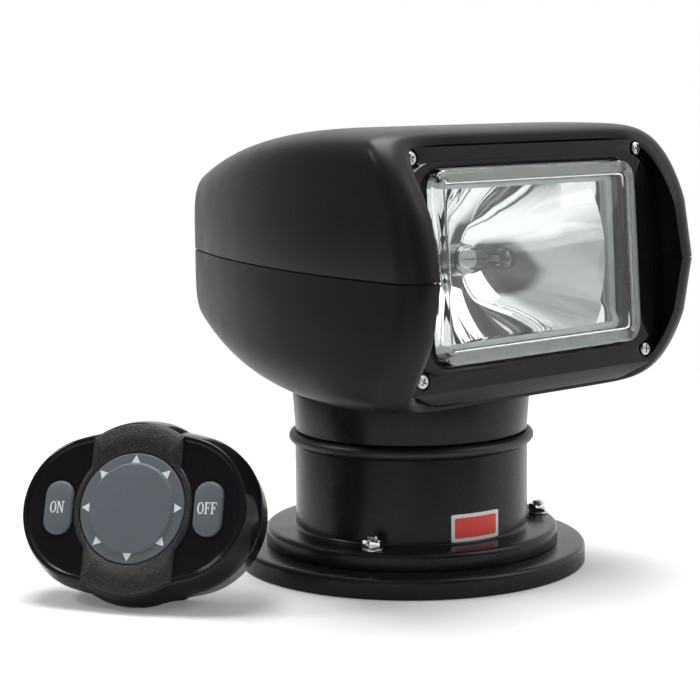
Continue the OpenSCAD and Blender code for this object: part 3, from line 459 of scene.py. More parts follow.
# gasket colour: partly the silicone's own, partly painted light that makes the lens rim in front of it look
# lit
SILICONE_AND_RIM_LIGHT = Moulding("silicone_and_rim_light", (0.86, 0.90, 0.88, 1), 0.34, grain_depth=0.005 * MM)
MAT_RUBBER = Moulding("mat_rubber", (0.45, 0.45, 0.44, 1), 0.55)
NYLON = Moulding("gear_nylon", (0.72, 0.70, 0.62, 1), 0.42)
DARK_PARTS = Moulding("dark_parts", (0.03, 0.03, 0.04, 1), 0.45)
STAINLESS = Metal("stainless", (0.60, 0.60, 0.61, 1), 0.28)
CHROME = Metal("bright_chrome", (0.80, 0.80, 0.81, 1), 0.10, 2.0, 0.05)
MOTOR_CAN = Metal("motor_can", (0.50, 0.50, 0.51, 1), 0.35)
BRONZE = Metal("bronze", (0.55, 0.36, 0.16, 1), 0.36)
CELL_SKIN = Metal("battery_skin", (0.50, 0.38, 0.12, 1), 0.32)
SILVERED = Mirror("reflector_silver", (0.93, 0.93, 0.94, 1))
LENS_GLASS = Glass("lens_glass", (0.955, 0.985, 0.97, 1))
BULB_GLASS = Glass("bulb_glass", (0.98, 0.99, 1.0, 1))
LABEL_RED = Ink("label_red", (0.78, 0.040, 0.022, 1))
PRINT_WHITE = Ink("print_white", (0.82, 0.83, 0.84, 1), 0.45)
BOARD_GREEN = Board("board_green", (0.012, 0.10, 0.04, 1))

# The record's material slots have the names of these finishes
SLOT_FINISH: dict[str, Finish] = {finish.name: finish for finish in (
    HEAD_PLASTIC, BASE_PLASTIC, GLOSS_BLACK, CASE_BLACK, KEY_GREY, SEAL_RUBBER, MAT_RUBBER, NYLON, DARK_PARTS,
    STAINLESS, CHROME, MOTOR_CAN, BRONZE, CELL_SKIN, SILVERED, LENS_GLASS, BULB_GLASS, BOARD_GREEN)}


# Mesh tools


def new_object(name: str, points: Sequence[Point], faces: Sequence[Sequence[int]]) -> bpy.types.Object:
    """Makes a mesh object at the origin.

    Args:
        name: the object's name.
        points: its vertices in metres.
        faces: vertex numbers of each face.

    Returns:
        The linked object.
    """
    mesh = bpy.data.meshes.new(name)
    mesh.from_pydata([tuple(p) for p in points], [], [list(f) for f in faces])
    made = bpy.data.objects.new(name, mesh)
    bpy.context.scene.collection.objects.link(made)
    return made


def loft(name: str, rings: Sequence[Ring], capped: bool = False) -> bpy.types.Object:
    """Joins rings of equally many points with quads.

    Args:
        name: the object's name.
        rings: the rings in order.
        capped: whether the first and last rings are filled, instead of joined to each other.

    Returns:
        The closed object, with its faces pointing outwards.
    """
    count, last = len(rings[0]), len(rings) - 1
    points = [p for ring in rings for p in ring]
    faces: list[list[int]] = []
    pairs = [(i, i + 1) for i in range(last)] + ([] if capped else [(last, 0)])
    for low, high in pairs:
        for j in range(count):
            k = (j + 1) % count
            faces.append([low * count + j, low * count + k, high * count + k, high * count + j])
    if capped:
        faces.append(list(range(count))[::-1])
        faces.append([last * count + j for j in range(count)])
    made = new_object(name, points, faces)
    tidy(made)
    return made


def tidy(piece: bpy.types.Object, merge: float = 1e-6) -> None:
    """Merges doubles and turns the faces outwards."""
    work = bmesh.new()
    work.from_mesh(piece.data)
    bmesh.ops.remove_doubles(work, verts=work.verts, dist=merge)
    bmesh.ops.dissolve_degenerate(work, edges=work.edges, dist=merge)
    bmesh.ops.recalc_face_normals(work, faces=work.faces)
    work.to_mesh(piece.data)
    work.free()


def bake(piece: bpy.types.Object) -> None:
    """Applies the piece's modifiers to its mesh."""
    graph = bpy.context.evaluated_depsgraph_get()
    mesh = bpy.data.meshes.new_from_object(piece.evaluated_get(graph))
    piece.modifiers.clear()
    piece.data = mesh


def bevel(piece: bpy.types.Object, width: float, angle: float, segments: int = 2) -> None:
    """Rounds the edges that are sharper than an angle.

    Args:
        piece: the object.
        width: the rounding in millimetres.
        angle: the least angle in degrees.
        segments: how many facets the rounding has.
    """
    edge = piece.modifiers.new("edge", "BEVEL")
    edge.width = width * MM
    edge.segments = segments
    edge.limit_method = "ANGLE"
    edge.angle_limit = math.radians(angle)
    bake(piece)


def combine(piece: bpy.types.Object, tool: bpy.types.Object, operation: str = "DIFFERENCE") -> None:
    """Cuts a tool out of a piece, adds it or keeps what both share, and removes the tool.

    Args:
        piece: the object that is changed.
        tool: the closed shape.
        operation: DIFFERENCE, UNION or INTERSECT.
    """
    change = piece.modifiers.new("cut", "BOOLEAN")
    change.operation = operation
    change.solver = "EXACT"
    change.object = tool
    bake(piece)
    bpy.data.objects.remove(tool)


def smooth(piece: bpy.types.Object, angle: float = 32.0) -> None:
    """Shades the piece smooth but for edges sharper than an angle in degrees."""
    mesh = piece.data
    mesh.polygons.foreach_set("use_smooth", [True] * len(mesh.polygons))
    mesh.set_sharp_from_angle(angle=math.radians(angle))


def move(piece: bpy.types.Object, matrix: Matrix) -> None:
    """Puts a place into the piece's mesh."""
    piece.data.transform(matrix)
    piece.data.update()


def turn(angle: float, axis: str) -> Matrix:
    """A turn about an axis, in degrees."""
    return Matrix.Rotation(math.radians(angle), 4, axis)


def shift(x: float, y: float, z: float) -> Matrix:
    """A shift in millimetres."""
    return Matrix.Translation((x * MM, y * MM, z * MM))


def arc(centre: Flat, radius: float, first: float, last: float, steps: int) -> list[Flat]:
    """Points of an arc.

    Args:
        centre: its centre.
        radius: its radius.
        first: its first angle in degrees.
        last: its last angle in degrees.
        steps: how many parts it has.

    Returns:
        One point more than steps.
    """
    angles = [math.radians(first + (last - first) * i / steps) for i in range(steps + 1)]
    return [(centre[0] + radius * math.cos(a), centre[1] + radius * math.sin(a)) for a in angles]


def rounded(corners: Sequence[tuple[float, float, float]], steps: int) -> list[Flat]:
    """Rounds the corners of a closed outline.

    Args:
        corners: x, y and rounding of each corner.
        steps: how many parts a rounding has.

    Returns:
        The points of the outline.
    """
    out: list[Flat] = []
    count = len(corners)
    for i, (x, y, r) in enumerate(corners):
        here = Vector((x, y))
        back = (Vector(corners[i - 1][:2]) - here).normalized()
        ahead = (Vector(corners[(i + 1) % count][:2]) - here).normalized()
        between = math.acos(max(-1.0, min(1.0, back.dot(ahead))))
        if r <= 0 or between > math.pi - 1e-3:
            out.append((x, y))
            continue
        length = r / math.tan(between / 2)
        centre = here + (back + ahead).normalized() * (r / math.sin(between / 2))
        start, stop = here + back * length - centre, here + ahead * length - centre
        sweep = math.atan2(start.x * stop.y - start.y * stop.x, start.dot(stop))
        for k in range(steps + 1):
            a = math.atan2(start.y, start.x) + sweep * k / steps
            out.append((centre.x + r * math.cos(a), centre.y + r * math.sin(a)))
    return out


def oblong(half: Flat, corner: float, low: float | None = None, arcs: int = 14,
           edges: int = 10) -> list[Flat]:
    """A rounded rectangle with the same number of points whatever its size.

    Args:
        half: half width, and height above the middle.
        corner: the rounding of its corners.
        low: height below the middle, if it differs.
        arcs: parts of each corner.
        edges: parts of each side.

    Returns:
        The points, from the right side round.
    """
    low = half[1] if low is None else low
    spots = [(half[0] - corner, half[1] - corner, 0), (corner - half[0], half[1] - corner, 90),
             (corner - half[0], corner - low, 180), (half[0] - corner, corner - low, 270)]
    out: list[Flat] = []
    for k, (x, z, first) in enumerate(spots):
        out += arc((x, z), corner, first, first + 90, arcs)
        end = out[-1]
        next_x, next_z, next_first = spots[(k + 1) % 4]
        ahead = arc((next_x, next_z), corner, next_first, next_first + 90, 1)[0]
        out += [(end[0] + (ahead[0] - end[0]) * i / edges, end[1] + (ahead[1] - end[1]) * i / edges)
                for i in range(1, edges)]
    return out


def at_depth(outline: Sequence[Flat], y: float, x: float = 0.0) -> Ring:
    """An upright outline at a depth and a place across, in metres."""
    return [((x + u) * MM, y * MM, v * MM) for u, v in outline]


def around(rule: Callable[[float], float], y: float, segments: int, size: float = 1.0) -> Ring:
    """An upright ring whose reach follows a rule.

    Args:
        rule: the reach in a direction, in millimetres.
        y: the depth.
        segments: how many points it has.
        size: a factor on the reach.

    Returns:
        The ring in metres.
    """
    out = []
    for k in range(segments):
        a = 2 * math.pi * k / segments
        r = rule(a) * size * MM
        out.append((r * math.cos(a), y * MM, r * math.sin(a)))
    return out


def turned(name: str, profile: Sequence[Flat], segments: int) -> bpy.types.Object:
    """Turns a closed profile of radius and height, in millimetres, about the upright axis."""
    angles = [2 * math.pi * k / segments for k in range(segments)]
    rings = [[(r * MM * math.cos(a), r * MM * math.sin(a), z * MM) for a in angles] for r, z in profile]
    return loft(name, rings)


def prism(name: str, outline: Sequence[Flat], low: float, high: float) -> bpy.types.Object:
    """Raises a flat outline between two heights, all in millimetres."""
    rings = [[(x * MM, y * MM, z * MM) for x, y in outline] for z in (low, high)]
    return loft(name, rings, capped=True)


def slab(name: str, outline: Sequence[Flat], low: float, high: float, x: float = 0.0) -> bpy.types.Object:
    """Draws an upright outline out between two depths, all in millimetres."""
    return loft(name, [at_depth(outline, y, x) for y in (low, high)], capped=True)


def round_bar(name: str, radius: float, low: float, high: float, place: Flat = (0, 0),
              sides: int = 32) -> bpy.types.Object:
    """An upright round bar, in millimetres, used for cuts and bosses."""
    return prism(name, arc(place, radius, 0, 360 - 360 / sides, sides - 1), low, high)


def joined(name: str, pieces: Sequence[bpy.types.Object]) -> bpy.types.Object:
    """Makes several objects one.

    Args:
        name: the new object's name.
        pieces: the objects, which are removed.

    Returns:
        The joined object.
    """
    work = bmesh.new()
    for piece in pieces:
        work.from_mesh(piece.data)
    made = new_object(name, [], [])
    work.to_mesh(made.data)
    work.free()
    for piece in pieces:
        bpy.data.objects.remove(piece)
    return made


def dress(piece: bpy.types.Object, finish: Finish, body: Body, slot: str, *replaces: str) -> None:
    """Gives a piece its finish and its body, and hides the nodes it stands for.

    Args:
        piece: the object.
        finish: its finish.
        body: the body it rides on.
        slot: the record's material slot; not used.
        replaces: the nodes that it stands for.
    """
    piece.data.materials.clear()
    piece.data.materials.append(finish.material())
    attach(piece, body.value)
    if replaces:
        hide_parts(*replaces)
    LOG.info("%s: %d faces on %s", piece.name, len(piece.data.polygons), body.value)


class Layout(Enum):
    """How a repeated piece is laid out."""

    RING = "ring"
    CORNERS = "corners"


@dataclass
class Repeat:
    """Repeats a template round a ring or at the corners of a rectangle, with geometry nodes."""

    name: str
    layout: Layout
    template: bpy.types.Object
    finish: Finish
    count: int = 4
    radius: float = 0.0
    size_x: float = 0.0
    size_y: float = 0.0
    twist: float = 0.0
    seed: int = 7

    def _sockets(self) -> dict[str, tuple[str, Any]]:
        """The tree's named inputs with their types and values."""
        return {
            "Count": ("NodeSocketInt", self.count),
            "Radius": ("NodeSocketFloat", self.radius),
            "Size X": ("NodeSocketFloat", self.size_x),
            "Size Y": ("NodeSocketFloat", self.size_y),
            "Twist": ("NodeSocketFloat", self.twist),
            "Template": ("NodeSocketObject", self.template),
            "Material": ("NodeSocketMaterial", self.finish.material()),
        }

    def _points(self, given: Tone) -> Tone:
        """The points that the template stands on."""
        if self.layout is Layout.RING:
            ring = {"Vertices": given.beside("Count"), "Radius": given.beside("Radius")}
            return given.nodes.node("GeometryNodeMeshCircle", {}, ring, "Mesh")
        corners = {label: given.beside(label) for label in ("Size X", "Size Y")}
        corners |= {"Vertices X": 2, "Vertices Y": 2}
        return given.nodes.node("GeometryNodeMeshGrid", {}, corners, "Mesh")

    def _turns(self, given: Tone) -> Tone:
        """How each copy is turned: with the ring, or by a fixed random twist at a corner."""
        nodes = given.nodes
        index = nodes.node("GeometryNodeInputIndex", {}, {})
        if self.layout is Layout.RING:
            angle = index * (2 * math.pi / given.beside("Count"))
        else:
            draw = {"ID": index, "Seed": self.seed}
            spread = nodes.node("FunctionNodeRandomValue", {"data_type": "FLOAT"}, draw, 1)
            angle = spread * given.beside("Twist")
        axis = nodes.node("ShaderNodeCombineXYZ", {}, {"Z": angle})
        return nodes.node("FunctionNodeEulerToRotation", {}, {0: axis})

    def build(self, place: Matrix) -> bpy.types.Object:
        """Runs the tree and keeps its result as a plain mesh.

        Args:
            place: where the pattern's centre and axes lie.

        Returns:
            The object that holds all the copies.
        """
        tree = bpy.data.node_groups.new(self.name + "_tree", "GeometryNodeTree")
        tree.interface.new_socket("Geometry", in_out="OUTPUT", socket_type="NodeSocketGeometry")
        idents = {}
        for label, (kind, _) in self._sockets().items():
            idents[label] = tree.interface.new_socket(label, in_out="INPUT", socket_type=kind).identifier
        nodes = Nodes(tree)
        given = nodes.node("NodeGroupInput", {}, {})
        source = nodes.node("GeometryNodeObjectInfo", {"transform_space": "ORIGINAL"},
                            {"Object": given.beside("Template")}, "Geometry")
        copies = nodes.node("GeometryNodeInstanceOnPoints", {}, {
            "Points": self._points(given), "Instance": source, "Rotation": self._turns(given)})
        real = nodes.node("GeometryNodeRealizeInstances", {}, {"Geometry": copies})
        coloured = nodes.node("GeometryNodeSetMaterial", {}, {
            "Geometry": real, "Material": given.beside("Material")})
        nodes.node("NodeGroupOutput", {}, {"Geometry": coloured})
        made = new_object(self.name, [], [])
        modifier = made.modifiers.new("repeat", "NODES")
        modifier.node_group = tree
        for label, (_, value) in self._sockets().items():
            modifier[idents[label]] = value
        bake(made)
        bpy.data.objects.remove(self.template)
        move(made, place)
        smooth(made)
        return made


# The head


@dataclass
class HeadShell:
    """The two lofted halves of the head, in millimetres, split at the seam."""

    seam_z: float = 144.1
    seam_gap: float = 0.8
    wall: float = 3.0
    edge_round: float = 0.55
    half_w: float = 93.0
    side_bow: float = 420.0
    widest_y: float = -100.0
    roof_h: float = 62.0
    roof_bow: float = 555.0
    roof_crest: float = -42.0
    belly_h: float = 60.0
    belly_bow: float = 485.0
    belly_crest: float = -26.0
    back_y: float = 123.5
    back_round: float = 7.0
    cheek_r: float = 86.0
    cheek_y: float = 13.5
    lip: float = 12.0
    lip_reach: float = 1.08
    brow: float = 0.28
    section_back: float = 5.0
    section_front: float = 11.0
    crowding: float = 0.55
    well_r: float = 57.5
    well_front: float = -70.0
    well_back: float = 92.0
    well_under: float = 5.0
    well_over: float = 20.0
    boss_r: float = 5.0
    boss_gap: float = 0.4
    boss_spots: tuple[Flat, ...] = ((70, -45), (24, 103))
    pillar_r: float = 4.0
    pillar_spots: tuple[Flat, ...] = ((65.5, -8), (63, 23))
    frame_z: float = 133.6
    tongue_near: float = 1.3
    tongue_far: float = 2.4
    tongue_foot: float = -1.5
    tongue_gap: float = 0.1
    section_steps: int = 120
    body_steps: int = 70
    nose_steps: int = 8
    lip_steps: int = 14
    end_steps: int = 24
    well_steps: int = 40

    def _rise(self, roof: bool, y: float) -> float:
        """Half height of the head at a place along it."""
        if roof:
            return self.roof_h - (y - self.roof_crest) ** 2 / (2 * self.roof_bow)
        return self.belly_h - (y - self.belly_crest) ** 2 / (2 * self.belly_bow)

    def _width(self, y: float) -> float:
        """Half width of the head at a place along it."""
        return self.half_w - (y - self.widest_y) ** 2 / (2 * self.side_bow)

    def _front(self, z: float) -> float:
        """Front edge of the cheeks at a height from the seam."""
        return -self.cheek_y - math.sqrt(max(0.0, self.cheek_r ** 2 - z ** 2))

    def _point(self, roof: bool, inset: float, t: float, a: float) -> Point:
        """A point of one half.

        Args:
            roof: whether it is the upper half.
            inset: distance inside the outer surface.
            t: station from the back, 0, to the front, 1.
            a: angle round the section, 0 to pi.

        Returns:
            The point in metres, with the seam at height 0.
        """
        n = self.section_back + (self.section_front - self.section_back) * t
        ux = math.copysign(abs(math.cos(a)) ** (2 / n), math.cos(a))
        uz = max(0.0, math.sin(a)) ** (2 / n) if 1e-9 < a < math.pi - 1e-9 else 0.0
        front = self._front(uz * (self.roof_h if roof else self.belly_h))
        back = self.back_y - inset
        y = back + (front - back) * t
        into = self.lip - y + front
        roll = self.lip * (1 - math.sqrt(max(0.0, 1 - (into / self.lip) ** 2))) if into > 0 else 0.0
        deep = back - y
        nose = 0.0
        if deep < self.back_round:
            nose = self.back_round - math.sqrt(max(0.0, self.back_round ** 2 - (self.back_round - deep) ** 2))
        x = (self._width(y) - roll - nose - inset) * ux
        z = (self._rise(roof, y) - nose / 2 - (self.brow * roll if roof else 0.0) - inset) * uz
        return (x * MM, y * MM, (z if roof else -z) * MM)

    def _stations(self) -> list[float]:
        """Stations along the head, closer where it rounds off."""
        length = self.back_y + self.cheek_y + self.cheek_r
        nose, lip = self.back_round / length, self.lip_reach * self.lip / length
        first = [nose * (1 - math.cos(math.pi / 2 * i / self.nose_steps)) for i in range(self.nose_steps + 1)]
        last = [1 - lip * (1 - math.sin(math.pi / 2 * i / self.lip_steps)) for i in range(self.lip_steps + 1)]
        body = [nose + (1 - lip - nose) * i / self.body_steps for i in range(1, self.body_steps)]
        return first + body + last

    def _angles(self) -> list[float]:
        """Angles round the section, evenly spread along a rounded box."""
        out = []
        for i in range(self.section_steps + 1):
            u = i / self.section_steps
            out.append(math.pi * (u - 0.5 * math.sin(4 * math.pi * u) / (2 * math.pi) * self.crowding))
        return out

    def _half(self, roof: bool) -> bpy.types.Object:
        """One closed half, before its openings are cut."""
        stations, angles = self._stations(), self._angles()
        outer = [[self._point(roof, 0, t, a) for a in angles] for t in stations]
        inner = [[self._point(roof, self.wall, t, a) for a in angles] for t in stations]
        rows, cols = len(stations), len(angles)
        points = [p for ring in outer + inner for p in ring]
        faces = []
        step = rows * cols
        for base, flip in ((0, False), (step, True)):
            for i in range(rows - 1):
                for j in range(cols - 1):
                    a = base + i * cols + j
                    quad = [a, a + 1, a + cols + 1, a + cols]
                    faces.append(quad[::-1] if flip else quad)
        for i in range(rows - 1):
            for j in (0, cols - 1):
                a, b = i * cols + j, (i + 1) * cols + j
                faces.append([a, b, b + step, a + step])
        for j in range(cols - 1):
            a = (rows - 1) * cols + j
            faces.append([a, a + 1, a + 1 + step, a + step])
        faces += [list(range(cols)), [step + j for j in range(cols)]]
        faces.append([0, cols - 1, step + cols - 1, step])
        made = new_object("upper_cover" if roof else "lower_cover", points, faces)
        tidy(made, merge=2e-7)
        return made

    def _well(self) -> bpy.types.Object:
        """The opening in the belly that clears the neck as the head tilts."""
        front, back = self.well_front + self.well_r, self.well_back - self.well_r
        outline = arc((0, front), self.well_r, 180, 360, self.well_steps)
        outline += arc((0, back), self.well_r, 0, 180, self.well_steps)
        return prism("well", outline, -self.belly_h - self.well_under, -self.belly_h + self.well_over)

    def _bosses(self, roof: bool) -> list[bpy.types.Object]:
        """Screw bosses between the seam and the shell, and the belly's pillars."""
        made = []
        for side in (-1, 1):
            for k, (x, y) in enumerate(self.boss_spots):
                reach = self._rise(roof, y) - 2 * self.wall
                low, high = (self.boss_gap, reach) if roof else (-reach, -self.boss_gap)
                made.append(round_bar(f"boss_{side}_{k}", self.boss_r, low, high, (side * x, y)))
            for k, (x, y) in enumerate(self.pillar_spots if not roof else ()):
                low, high = -self._rise(roof, y) + 2 * self.wall, self.frame_z - self.seam_z
                made.append(round_bar(f"pillar_{side}_{k}", self.pillar_r, low, high, (side * x, y)))
        return made

    def _tongue(self) -> bpy.types.Object:
        """Thin wall on the lower half that stands behind the seam and keeps light out of it."""
        near, far = self.tongue_near, self.tongue_far
        foot, tip = self.tongue_foot, self.seam_gap - self.tongue_gap
        spots: list[Flat] = [(t, 0.0) for t in self._stations()[::-1]]
        spots += [(0.0, math.pi * k / self.end_steps) for k in range(1, self.end_steps)]
        spots += [(t, math.pi) for t in self._stations()]
        rings = []
        for t, a in spots:
            ring = []
            for inset, z in ((near, foot), (near, tip), (far, tip), (far, foot)):
                x, y, _ = self._point(False, inset, t, 0.0 if a < math.pi / 2 else math.pi)
                if 0 < a < math.pi:
                    x *= math.cos(a)
                ring.append((x, y, z * MM))
            rings.append(ring)
        return loft("seam_tongue", rings, capped=True)

    def build(self) -> None:
        """Makes both halves, cuts the belly open and dresses them."""
        for roof, side in ((True, "upper"), (False, "lower")):
            half = self._half(roof)
            if not roof:
                combine(half, self._well())
            bevel(half, width=self.edge_round, angle=40)
            extra = self._bosses(roof) + ([] if roof else [self._tongue()])
            whole = joined(f"{side}_cover_shell", [half] + extra)
            gap = self.seam_gap / 2 if roof else -self.seam_gap / 2
            move(whole, shift(0, 0, self.seam_z + gap))
            smooth(whole, angle=38)
            dress(whole, HEAD_PLASTIC, Body.HEAD, "head_plastic", f"{side}_shell")


# The lamp


@dataclass
class Lamp:
    """Bezel, lens, reflector and bulb, in millimetres, in a frame that leans with the lens."""

    lens_y: float = 85.3
    axis_z: float = 148.1
    lean: float = 4.0
    lens_half: Flat = (64.8, 41.6)
    lens_corner: float = 9.0
    least_corner: float = 1.5
    lens_gap: float = 0.3
    flange_room: float = 3.4
    gasket_inset: float = 8.0
    gasket_grow: float = 2.9
    gasket_y: Flat = (12.02, 13.98)
    bezel_half_l: float = 87.5
    bezel_low: float = 53.0
    bezel_high: float = 51.0
    bezel_corner: float = 13.0
    bezel_y: float = 6.0
    bezel_seat: float = 9.0
    bezel_edge: float = 3.0
    bow_r: float = 150.0
    axis_drop: float = 4.0
    chin_drop: float = 6.0
    chin_back: float = 5.0
    chin_blend: float = 6.0
    chin_half_l: float = 76.0
    chin_fade: float = 8.0
    collar: Flat = (78.0, 44.5)
    collar_corner: float = 16.0
    collar_foot: float = 0.8
    collar_inset: Flat = (9.0, 2.2)
    collar_sharper: float = 4.0
    crest_y: float = 3.5
    slope_y: float = 4.4
    hole_y: float = 4.6
    rim_inset: float = 0.6
    screw: Flat = (72.5, 46.5)
    screw_y: float = 7.2
    recess_r: float = 4.4
    recess_front: float = 2.0
    screw_twist: float = 1.5
    focal: float = 18.0
    vertex_y: float = 59.0
    mouth_y: float = 14.0
    mouth_half_h: float = 36.0
    bowl_wall: float = 2.0
    bowl_hole: float = 7.0
    bowl_neck: float = 12.0
    bowl_lip: float = 0.8
    bowl_sides: int = 288
    bowl_steps: int = 40
    frame_half: Flat = (78.0, 51.0)
    bulb_tip: float = 22.5
    bulb_seat: float = 64.0
    bulb_foot: float = 55.0
    coil_turns: int = 9
    coil_length: float = 9.0
    coil_r: float = 1.3
    coil_start: float = 9.0
    coil_steps: int = 180
    wire_r: float = 0.22
    wire_sides: int = 6

    def place(self) -> Matrix:
        """The lamp's own frame in the shared one."""
        return shift(0, -self.lens_y, self.axis_z) @ turn(-self.lean, "X")

    def _lens_ring(self, inset: float, y: float) -> Ring:
        """The lens outline, inset, at a depth behind the lens face."""
        half = (self.lens_half[0] - inset, self.lens_half[1] - inset)
        return at_depth(oblong(half, max(self.least_corner, self.lens_corner - inset)), y)

    def lens(self) -> None:
        """Thick pressed glass with a stepped rim, a flange and a hollow back."""
        steps = [(8.0, 1.2), (7.0, 1.15), (6.2, 0.95), (5.6, 0.4), (5.0, 0.1), (4.4, 0.0), (2.4, 0.0),
                 (1.4, 0.2), (0.7, 0.6), (0.2, 1.3), (0.0, 2.2), (0.0, 9.0), (-3.0, 9.0), (-3.0, 12.0),
                 (4.2, 12.0), (4.2, 6.2), (4.7, 5.2), (5.6, 4.7), (6.8, 4.5)]
        made = loft("lens_block", [self._lens_ring(inset, y) for inset, y in steps], capped=True)
        move(made, self.place())
        smooth(made, angle=30)
        dress(made, LENS_GLASS, Body.HEAD, "lens_glass", "lens")

    def gasket(self) -> None:
        """Silicone gasket between the lens flange and the reflector. Its pale colour is partly its own and
        partly painted light, so that the lens rim in front of it looks lit.
        """
        inner, outer, (front, back) = self.gasket_inset, -self.gasket_grow, self.gasket_y
        steps = ((inner, front), (outer, front), (outer, back), (inner, back))
        made = loft("lens_seat", [self._lens_ring(inset, y) for inset, y in steps])
        bevel(made, width=0.3, angle=40)
        move(made, self.place())
        smooth(made, angle=40)
        # the pale gasket colour is partly painted light for the lens rim
        dress(made, SILICONE_AND_RIM_LIGHT, Body.HEAD, "seal_rubber", "lens_gasket")

    def _bezel_outline(self, grow: float) -> list[Flat]:
        """The bezel's outline: a rounded rectangle whose sides bow."""
        half = (self.bezel_half_l + grow, self.bezel_high + grow)
        out = []
        for x, z in oblong(half, self.bezel_corner, self.bezel_low + grow):
            reach = half[0] - self.bow_r + math.sqrt(self.bow_r ** 2 - (z + self.axis_drop) ** 2)
            out.append((max(-reach, min(reach, x)), z))
        return out

    def _chin(self, share: float) -> Ring:
        """The bezel's outline with its lower side drawn down and back towards the belly."""
        drop, back = self.chin_drop * share, self.chin_back * share
        ring = []
        for x, z in self._bezel_outline(0):
            low = max(0.0, min(1.0, (-z - self.bezel_low + self.chin_blend) / self.chin_blend))
            side = max(0.0, min(1.0, (self.chin_half_l - abs(x)) / self.chin_fade))
            w = low * low * (3 - 2 * low) * side * side * (3 - 2 * side)
            ring.append((x * MM, (self.bezel_y + back * w) * MM, (z - drop * w) * MM))
        return ring

    def bezel(self) -> None:
        """Glossy front plate with a raised collar round the lens and a sloped chin."""
        wide, high = self.collar
        inner_half = (wide - self.collar_inset[0], high - self.collar_inset[1])
        inner = oblong(inner_half, self.collar_corner - self.collar_sharper)
        crest = oblong(self.collar, self.collar_corner)
        foot = oblong((wide + self.collar_foot, high + self.collar_foot), self.collar_corner)
        room, gap = -self.flange_room, -self.lens_gap
        rings = [self._lens_ring(room, self.mouth_y), self._lens_ring(room, self.bezel_seat),
                 self._lens_ring(gap, self.bezel_seat), self._lens_ring(gap, self.hole_y),
                 at_depth(inner, self.slope_y), at_depth(crest, self.crest_y), at_depth(foot, self.bezel_y),
                 at_depth(self._bezel_outline(-self.rim_inset), self.bezel_y), self._chin(0.5), self._chin(1),
                 [(x, y + self.bezel_edge * MM, z) for x, y, z in self._chin(1)]]
        made = loft("bezel_plate", rings)
        for sx, sz in QUARTERS:
            spot = (sx * self.screw[0], sz * self.screw[1])
            cut = round_bar("recess", self.recess_r, -self.screw_y, -self.recess_front, spot)
            move(cut, turn(90, "X"))
            combine(made, cut)
        bevel(made, width=0.5, angle=28, segments=3)
        move(made, self.place())
        smooth(made, angle=40)
        dress(made, GLOSS_BLACK, Body.HEAD, "gloss_black", "front_bezel")

    def screws(self) -> None:
        """Cross-recessed bezel screws."""
        profile = [(0.001, -2.2, 0), (3.1, -2.2, 0.9), (3.1, 0, 0.2), (1.6, 0, 0), (1.6, 26, 0.4),
                   (0.001, 26, 0)]
        head = turned("bezel_screw", rounded(profile, steps=5), segments=32)
        for angle in (0, 90):
            slot = prism("slot", [(-1.9, -0.38), (1.9, -0.38), (1.9, 0.38), (-1.9, 0.38)], -3, -1.1)
            move(slot, turn(angle, "Z"))
            combine(head, slot)
        lay = shift(0, self.screw_y, 0) @ turn(-90, "X")
        made = Repeat("bezel_fixings", Layout.CORNERS, head, STAINLESS, size_x=2 * self.screw[0] * MM,
                      size_y=2 * self.screw[1] * MM, twist=self.screw_twist).build(self.place() @ lay)
        dress(made, STAINLESS, Body.HEAD, "stainless", "bezel_screws")

    def _mouth(self, angle: float, grow: float = 0.0) -> float:
        """Reach of the bowl's mouth in a direction across the axis."""
        wide = math.sqrt(4 * self.focal * (self.vertex_y - self.mouth_y)) + grow
        tall = (self.mouth_half_h + grow) / max(TINY, abs(math.sin(angle)))
        return min(wide, tall)

    def _border(self, angle: float) -> float:
        """Reach of the reflector's mounting frame in a direction across the axis."""
        return min(self.frame_half[0] / max(TINY, abs(math.cos(angle))),
                   self.frame_half[1] / max(TINY, abs(math.sin(angle))))

    def _bowl(self, hole: float, grow: float, share: float) -> Ring:
        """One ring of the bowl.

        Args:
            hole: the radius of the opening at its back.
            grow: distance outside the silvered surface.
            share: the place from the opening, 0, to the mouth, 1.

        Returns:
            The ring in metres.
        """
        ring = []
        for k in range(self.bowl_sides):
            a = 2 * math.pi * k / self.bowl_sides
            r = hole + (self._mouth(a, grow) - hole) * share
            y = self.vertex_y + grow - r ** 2 / (4 * self.focal)
            ring.append((r * math.cos(a) * MM, max(y, self.mouth_y) * MM, r * math.sin(a) * MM))
        return ring

    def reflector(self) -> None:
        """Silvered bowl cut flat above and below, on its mounting frame."""
        wall, n = self.bowl_wall, self.bowl_sides
        shares = [i / self.bowl_steps for i in range(self.bowl_steps + 1)]
        rings = [around(lambda a: self.bowl_hole, self.bulb_seat, n)]
        rings += [self._bowl(self.bowl_hole, 0, s) for s in shares]
        rings += [around(self._mouth, self.mouth_y + lip, n) for lip in (self.bowl_lip, 0.0)]
        rings += [around(self._border, self.mouth_y + depth, n) for depth in (0.0, wall)]
        rings += [around(lambda a: self._mouth(a, wall), self.mouth_y + wall, n)]
        rings += [self._bowl(self.bowl_neck, wall, s) for s in shares[::-1]]
        rings += [around(lambda a: self.bowl_neck, self.bulb_seat, n)]
        made = loft("reflector_bowl", rings)
        move(made, self.place())
        smooth(made, angle=30)
        dress(made, SILVERED, Body.HEAD, "reflector_silver", "reflector")

